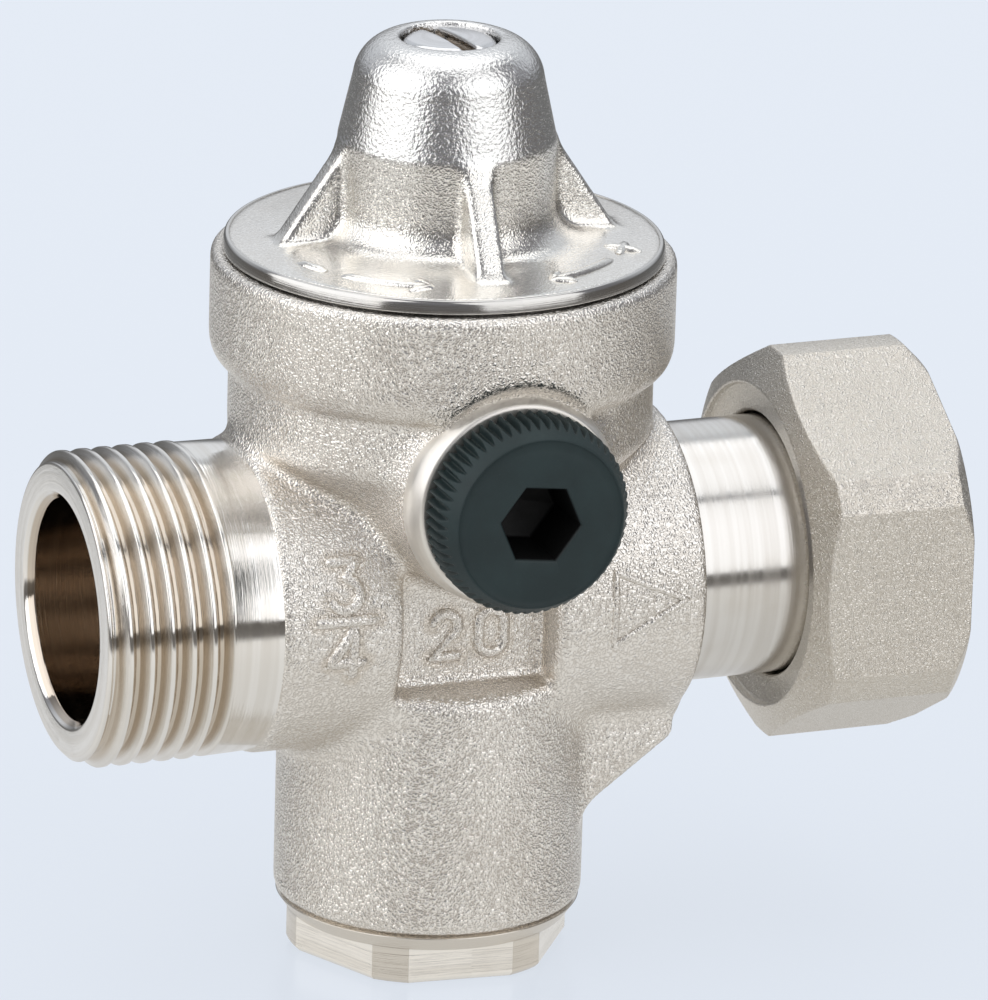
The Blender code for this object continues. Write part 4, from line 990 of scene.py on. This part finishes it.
def makeScrew():
    s = screwShape
    screwLow, screwHigh = nodeSpan("adjusting_screw")
    low, top, reach = screwLow[2] - pipeZ, screwHigh[2] - pipeZ, s["radius"]
    x, y, z, origin = gridOver((-reach, -reach, low), (reach, reach, top), s["voxel"])
    radius = np.sqrt(x * x + y * y)
    share = radius / reach
    crown = top - s["crown"] * share**2 - s["edge"] * np.clip((share - 0.78) / 0.22, 0, 1) ** 2
    field = np.maximum(np.maximum(radius - reach, z - crown), low - z)
    field = np.maximum(field, (radius - s["point"] - (z - low)) * 0.7)
    turn = math.radians(s["slotTurn"])
    across = -x * math.sin(turn) + y * math.cos(turn)
    slot = np.maximum(np.abs(across) - s["slotHalf"], top - s["slotDepth"] - z)
    field = soften(cut(field, slot, s["slotEase"]), 1)
    mesh = castMesh("screwHead", field, origin, s["voxel"], s["maskReach"])
    addPiece(mesh, onPipeAxis, "screwSteel", "plated_steel", "adjusting_screw", "adjusting_screw")


makeScrew()

gaugePlug = dict(
    face=7.15, bevel=2.0, teeth=60, perTooth=10, toothDepth=0.65,
    socket=6.0, socketTurn=-6.875, socketDepth=6.0, socketEdge=0.25,
    neck=5.6, thread=6.28, headBack=19.2, recessBottom=16.8,
    seatBore=7.6, seatBack=16.4, seatWidth=9.25, seatBevel=17.6, seatEdge=8.6, seatFace=18.95,
)


def makePlugHead():
    g = gaugePlug
    front, back, end, head = -plugLow[1], g["headBack"], -plugHigh[1], plugHigh[0]
    angles = evenAngles(g["teeth"] * g["perTooth"])
    socket = hexReach(g["socket"], angles, math.radians(g["socketTurn"] + 30))
    bevelStart, floor = front - g["bevel"], front - g["socketDepth"]
    edge, thread = g["socketEdge"], g["thread"]
    rows = [
        (0.02, end), (2, end), (thread - 0.7, end), (thread - 0.3, end + 0.05), (thread, end + 0.5),
        (thread, g["recessBottom"]), (g["neck"], g["recessBottom"]), (g["neck"], back - 0.1),
    ]
    outer = easedOutline([
        (g["neck"], back, 0.05), (head, back, 0.3), (head, bevelStart, 0.5), (g["face"], front, 0.28),
    ])
    wall = [(head, h) for h in np.linspace(outer[9][1] + 0.2, bevelStart - 0.6, 6)]
    shares = (0.03, 0.08, 0.14, 0.2, 0.26, 0.32, 0.38, 0.45, 0.55, 0.7, 0.85)  # close where grooves run out
    bevel = [outer[14] + (outer[15] - outer[14]) * share for share in shares]
    rows += outer[:10] + wall + outer[10:15] + bevel + outer[15:]
    rows += [(g["face"] + (socket + 0.5 - g["face"]) * share, front) for share in (0.25, 0.5, 0.75)]
    rows += [(socket + edge + 0.04, front), (socket + edge * 0.6, front - 0.05)]
    rows += [(socket, front - edge), (socket, front - edge - 0.1)]
    rows += [(socket, front - g["socketDepth"] * share) for share in (0.3, 0.6, 0.95, 1.0)]
    rows += [(socket * 0.93, floor - 0.05), (socket * 0.5, floor - 0.5), (0.02, floor - 0.9)]
    mesh = turnedMesh("gaugePlugHead", rows, angles, closed=False)
    sizes = {"Teeth": g["teeth"], "Depth": g["toothDepth"] * mm, "Wall": head * mm}
    mesh = bakeNodes(mesh, knurlTree(), sizes, "plugPlastic")
    points = vertexPoints(mesh) / mm
    # painted shade: the inside of the socket is drawn near black
    setHollow(mesh, (np.hypot(points[:, 0], points[:, 1]) < 3.6) & (points[:, 2] < front - 0.2))
    addPiece(mesh, alongGauge, "plugPlastic", "dark_plastic", "gauge_plug", "gauge_plug")
    print("gauge plug knurled with", g["teeth"], "teeth")


def makePlugSeal():
    low, high = nodeSpan("gauge_plug_oring")
    centre = (high[0] + gaugePlug["neck"] + 0.15) / 2
    circle = arcPoints(centre, -(low[1] + high[1]) / 2, high[0] - centre, 0, 360, 25)[:-1]
    facts = ("sealRubber", "black_rubber", "gauge_seal", "gauge_plug_oring")
    turnPiece("gaugePlugSeal", circle, 96, alongGauge, *facts)


def makeGaugeSeat():  # the smooth face of the boss behind the plug
    g = gaugePlug
    outline = easedOutline([
        (g["seatBore"], g["seatBack"], 0.1), (g["seatWidth"], g["seatBack"], 0.1),
        (g["seatWidth"] - 0.1, g["seatBevel"], 0.45), (g["seatEdge"], g["seatFace"], 0.3),
        (g["seatBore"], g["seatFace"], 0.1),
    ])
    turnPiece("gaugeSeat", outline, 200, alongGauge, "seatNickel", "cast_nickel", "valve")


makePlugHead()
makePlugSeal()
makeGaugeSeat()

basePlugShape = dict(
    height=4.5, collarTop=12.8, collarLow=12.0, collar=1.3, flats=22.0, corner=11.9, turn=55.0, edge=0.4,
    spigot=10.4, bore=7.2, floor=3.6, paintedShade=0.5,
)


def makeBasePlug():
    p = basePlugShape
    turn = math.radians(p["turn"] + 30)
    angles = hexAngles(p["flats"], p["corner"], turn)
    low, spigotTop = (corner[2] for corner in nodeSpan("bottom_plug"))
    edge, bore, spigot, floor = p["edge"], p["bore"], p["spigot"], low + p["floor"]
    collarTop, collarLow = low + p["height"], p["collarLow"]
    hexTop = collarTop - p["collar"]
    hexagon = np.minimum(hexReach(p["flats"], angles, turn), p["corner"])
    rows = [(0.02, low), (6, low), (hexagon - edge - 0.3, low), (hexagon - edge - 0.03, low)]
    rows += [(hexagon - edge + 0.03, low + 0.03), (hexagon - 0.03, low + edge - 0.03)]
    rows.append((hexagon, low + edge + 0.04))
    rows += [(hexagon, h) for h in np.linspace(low + 0.6, hexTop - 0.04, 6)]
    rows += [(hexagon + 0.04, hexTop), (collarLow - 0.05, hexTop + 0.01), (collarLow, hexTop + 0.06)]
    for share in (0.06, 0.5, 0.94, 1.0):
        radius = collarLow + (p["collarTop"] - collarLow) * share
        rows.append((radius, hexTop + 0.06 + (p["collar"] - 0.12) * share))
    rows += [(p["collarTop"] - 0.06, collarTop), (spigot, collarTop), (spigot, spigotTop - 0.4)]
    rows += [(spigot - 0.4, spigotTop), (bore + 0.2, spigotTop), (bore, spigotTop - 0.2)]
    rows += [(bore, floor), (0.02, floor)]
    mesh = turnedMesh("basePlugBody", rows, angles, closed=False)
    # painted shade on the round corners and the collar, through the hollow mask
    paintedShade = np.zeros((len(rows), len(angles)))
    paintedShade[:, hexagon > p["corner"] - 0.001] = p["paintedShade"]  # painted shade: the round surface between the milled flats is drawn darker
    # painted shade on the collar above the flats as well
    paintedShade[np.array([h for _, h in rows]) > hexTop + 0.005] = p["paintedShade"]
    setHollow(mesh, paintedShade.ravel())
    addPiece(mesh, Matrix.Identity(4), "basePlugNickel", "turned_nickel", "valve", "bottom_plug")
    print("bottom plug milled")


makeBasePlug()

tailShape = dict(radius=10.97, bore=8.0, collar=11.8, collarWidth=2.5, washerBore=8.3)


def makeTail():
    t = tailShape
    start, end = tailLow[0], tailHigh[0]
    collarStart = end - t["collarWidth"]
    outline = easedOutline([
        (t["bore"], start, 0.2), (t["radius"], start, 0.2), (t["radius"], collarStart, 0.3),
        (t["collar"], collarStart, 0.2), (t["collar"], end, 0.25), (t["bore"], end, 0.4),
    ])
    turnPiece("tailTube", outline, 200, alongOutlet, "tailNickel", "turned_nickel", "valve", "tailpiece")
    near, away = (corner[0] for corner in nodeSpan("nut_gasket"))
    washer = easedOutline([
        (t["washerBore"], near, 0.1), (t["collar"], near, 0.1), (t["collar"], away, 0.15),
        (t["washerBore"], away, 0.15),
    ])
    turnPiece("nutWasher", washer, 120, alongOutlet, "gasketFibre", "red_fibre", "valve", "nut_gasket")
    print("tail and gasket turned")


makeTail()

nutShape = dict(
    flats=31.0, corner=17.1, turn=30, face=13.9, faceChamfer=1.7, back=16.0, backChamfer=1.1, ease=0.08,
    recess=13.66, recessDepth=0.6, lip=11.27, lipEnd=31.5,
    core=12.06, crest=13.22, pitch=1.814, depth=1.0, leadIn=1.16, leadLength=0.9, rowsPerTurn=14,
)


def makeNut():
    n = nutShape
    turn = math.radians(n["turn"])
    angles = hexAngles(n["flats"], n["corner"], turn)
    start, end = (corner[0] for corner in nodeSpan("swivel_nut"))
    lip, lipEnd, recess, floor = n["lip"], n["lipEnd"], n["recess"], start + n["recessDepth"]
    hexagon = np.minimum(hexReach(n["flats"], angles, turn), n["corner"])
    rows = [
        (lip, lipEnd), (lip, floor + 0.3), (lip + 0.25, floor), (recess - 0.2, floor), (recess, floor - 0.15),
        (recess, start + 0.12), (recess + 0.08, start),
    ]
    for h in np.concatenate([
        np.linspace(start, start + n["faceChamfer"] + 0.1, 26), np.linspace(start + 2.4, end - 1.8, 10),
        np.linspace(end - n["backChamfer"] - 0.1, end, 18),
    ]):
        faceCone = n["face"] + (h - start) * (n["corner"] - n["face"]) / n["faceChamfer"]
        backCone = n["back"] + (end - h) * (n["corner"] - n["back"]) / n["backChamfer"]
        rows.append((join(hexagon, min(faceCone, backCone), n["ease"]), h))
    rows += [(n["crest"] + 0.5, end), (n["crest"] + 0.1, end - 0.1)]
    lead = np.linspace(0, 1, 8)
    rows += [(n["crest"] - n["leadIn"] * s, end - 0.2 - n["leadLength"] * s) for s in lead]
    count = int((end - lipEnd) / n["pitch"] * n["rowsPerTurn"])
    rows += [(n["core"], h) for h in np.linspace(end - 1.2, lipEnd + 0.3, count)]
    rows += [(n["core"] - 0.2, lipEnd), (lip + 0.1, lipEnd)]
    mesh = turnedMesh("swivelNutBody", rows, angles)
    sizes = {
        "Pitch": n["pitch"] * mm, "Depth": -n["depth"] * mm, "Wall": (n["core"] + 0.35) * mm,
        "Start": (lipEnd + 1.6) * mm, "End": (end + 0.6) * mm, "Run Out": 1.2 * mm, "Crest": 0.2, "Root": 0.2,
    }
    mesh = bakeNodes(mesh, threadTree(), sizes, "nutNickel")
    markHollows(mesh, n["core"], n["depth"], end)
    addPiece(mesh, alongOutlet, "nutNickel", "cast_nickel", "swivel_nut", "swivel_nut")
    print("swivel nut formed")


makeNut()

springShape = dict(coil=5.0, freeTurns=6, endRise=2.1, split=0.4, perTurn=48)  # endRise in wire radii


def makeSpring():  # two lengths of one coil, split part way up
    s = springShape
    low, high = nodeSpan("setting_spring")
    coil, wire, last = s["coil"], high[0] - s["coil"], s["freeTurns"] + 2
    bottom, top = low[2] + wire, high[2] - wire
    turns = np.linspace(0, last, last * s["perTurn"] + 1)
    ends = wire * s["endRise"]
    heights = np.interp(turns, [0, 1, last - 1, last], [bottom, bottom + ends, top - ends, top])
    angles = turns * 2 * math.pi
    path = np.stack([coil * np.cos(angles), coil * np.sin(angles), heights], 1)
    middle = int(len(turns) * s["split"])

    def wind(name, points, node=None):
        edges = [(i, i + 1) for i in range(len(points) - 1)]
        mesh = sweptMesh(name, points, edges, wire, "springSteel")
        return addPiece(mesh, Matrix.Scale(mm, 4), "springSteel", "spring_steel", node=node)

    lower = wind("settingSpringLower", path[: middle + 1], "setting_spring")
    float(bottom + wire * 2) * mm
    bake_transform(lower)
    upper = wind("settingSpringUpper", path[middle:])
    float(top - wire * 2) * mm
    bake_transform(upper)
    print("setting spring wound")


makeSpring()

innerFinishes = {
    "screwSteel": ("seat_ring", "spring_plate", "stem_nut", "disc_nut"),
    "innerBrass": ("piston", "valve_stem", "disc_holder"),
    "slickBand": ("piston_guide_ring",),
    "sealRubber": (
        "seat_oring", "bonnet_gasket", "piston_oring", "seal_disc", "bottom_plug_oring", "guide_oring",
        "tailpiece_oring",
    ),
}
for finish, nodes in innerFinishes.items():
    for node in nodes:
        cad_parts[node].data.materials.clear()
        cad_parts[node].data.materials.append(finishes[finish])

# Stage: floor, world, lights and camera
view = dict(
    azimuth=-20.955, elevation=19.102, roll=-1.566, distance=0.85983, focalPixels=10272.4,
    aimX=435.231, aimY=574.067, width=988, height=1000, sensor=36.0,
)
stageLook = dict(
    light=(0.088, 0.094, 0.104), rough=0.25, glow=0.765, sky=(0.791, 0.847, 0.930), half=1.2,
    ambient=0.95, ambientColour=(0.95, 0.97, 1.0),
    behind=[  # what metal sees past the object, from straight down to straight up
        (0.0, (0.60, 0.60, 0.60)), (0.345, (0.74, 0.745, 0.75)), (0.38, (0.20, 0.20, 0.20)),
        (0.47, (0.13, 0.13, 0.13)), (0.56, (0.32, 0.33, 0.35)), (0.62, (0.60, 0.62, 0.66)),
        (0.76, (0.64, 0.67, 0.71)), (1.0, (0.50, 0.52, 0.55)),
    ],
    front=[  # and on the camera's side
        (0.0, (0.69, 0.685, 0.67)), (0.25, (0.77, 0.76, 0.735)), (0.36, (0.84, 0.825, 0.80)),
        (0.39, (0.18, 0.17, 0.16)), (0.46, (0.12, 0.11, 0.10)), (0.53, (0.18, 0.18, 0.19)),
        (0.80, (0.22, 0.22, 0.24)), (0.92, (0.15, 0.15, 0.16)), (1.0, (0.36, 0.37, 0.39)),
    ],
)
lamps = {  # azimuth from the camera, elevation, distance, width, height and brightness of each soft box
    "softLeft": (-64, 27, 1.0, 1.45, 1.20, 1.35),
    "softRight": (47, 27, 1.0, 1.10, 1.15, 1.13),
    "softTop": (180, 80, 1.0, 1.20, 1.10, 1.02),
    "softBack": (180, 25, 1.1, 0.70, 0.70, 0.15),
}


def outward(azimuth, elevation):  # direction from the object, with azimuth 0 towards the front
    azimuth, elevation = math.radians(azimuth), math.radians(elevation)
    flat = math.cos(elevation)
    return Vector((math.sin(azimuth) * flat, -math.cos(azimuth) * flat, math.sin(elevation)))


def makeFloor():  # wide and pale, with a soft shadow; metal shows the room instead
    f = stageLook
    half = f["half"]
    mesh = bpy.data.meshes.new("paleFloor")
    corners = [(x * half, y * half, -0.0001) for x, y in ((-1, -1), (1, -1), (1, 1), (-1, 1))]
    mesh.from_pydata(corners, [], [(0, 1, 2, 3)])
    floor = addObject(mesh)
    floor.visible_glossy = False
    material, tree, shader, place = newMaterial("paleFloor", 0.0, f)
    tone = mixColour(tree, noiseNode(tree, place, 6.0, 2.0), f["light"], tuple(v * 0.985 for v in f["light"]))
    setSockets(tree, shader, {
        "Base Color": tone, "Specular IOR Level": 0.05,
        "Emission Color": f["sky"], "Emission Strength": f["glow"],
    })
    mesh.materials.append(material)


def makeWorld():  # pale to the camera, a dim room with a dark horizon in reflections
    f = stageLook
    world = bpy.context.scene.world or bpy.data.worlds.new("studio")
    bpy.context.scene.world = world
    world.use_nodes = True
    tree = world.node_tree
    tree.nodes.clear()
    direction = addNode(tree, "ShaderNodeTexCoord").outputs["Generated"]
    height = splitAxes(tree, direction)[2].reckon("MULTIPLY_ADD", 0.5, 0.5)
    past = [direction, -outward(view["azimuth"], 0)]
    along = addNode(tree, "ShaderNodeVectorMath", past, operation="DOT_PRODUCT").outputs["Value"]
    away = nodeValue(tree, along)
    front, behind = (rampNode(tree, height, f[side]) for side in ("front", "behind"))
    room = mixColour(tree, away.smooth(0.2, 0.75), front, behind)
    lights = ((f["ambientColour"], f["ambient"]), (room, 1.0), (f["sky"], 1.0))
    lit, shown, seen = (addNode(tree, "ShaderNodeBackground", light).outputs[0] for light in lights)
    path = addNode(tree, "ShaderNodeLightPath").outputs
    mirror = nodeMath(tree, "MAXIMUM", path["Is Glossy Ray"], path["Is Transmission Ray"])
    around = addNode(tree, "ShaderNodeMixShader", [mirror, lit, shown]).outputs[0]
    whole = addNode(tree, "ShaderNodeMixShader", [path["Is Camera Ray"], around, seen]).outputs[0]
    addNode(tree, "ShaderNodeOutputWorld", [whole])


def makeLamps():
    for name, (azimuth, elevation, distance, width, height, brightness) in lamps.items():
        light = bpy.data.lights.new(name, "AREA")
        light.shape = "RECTANGLE"
        light.size, light.size_y = width, height
        light.energy = brightness * math.pi * width * height
        lamp = addObject(light)
        away = outward(view["azimuth"] + azimuth, elevation)
        lamp.location = Vector(pipeCentre) + away * distance
        lamp.rotation_euler = (-away).to_track_quat("-Z", "Y").to_euler()
        lamp.visible_camera = False


def makeCamera():  # stands where the photograph was taken and looks through the middle of its frame
    v = view
    azimuth, roll = math.radians(v["azimuth"]), math.radians(v["roll"])
    back = outward(v["azimuth"], v["elevation"])
    right = Vector((math.cos(azimuth), math.sin(azimuth), 0))
    up = back.cross(right)
    rolledRight = right * math.cos(roll) - up * math.sin(roll)
    rolledUp = right * math.sin(roll) + up * math.cos(roll)
    aside = (v["width"] / 2 - v["aimX"]) / v["focalPixels"]
    above = (v["aimY"] - v["height"] / 2) / v["focalPixels"]
    ahead = (-back + rolledRight * aside + rolledUp * above).normalized()
    across = ahead.cross(rolledUp).normalized()
    turn = Matrix((across, across.cross(ahead), -ahead)).transposed()
    data = bpy.data.cameras.new("photoCamera")
    data.sensor_width = v["sensor"]
    data.lens = v["focalPixels"] / v["height"] * v["sensor"]
    data.clip_start, data.clip_end = 0.05, 20.0
    camera = addObject(data)
    camera.matrix_world = Matrix.Translation(Vector(pipeCentre) + back * v["distance"]) @ turn.to_4x4()
    bpy.context.scene.camera = camera


makeFloor()
makeWorld()
makeLamps()
makeCamera()
bpy.context.scene.view_settings.view_transform = "Standard"
print("stage, lights and camera placed")
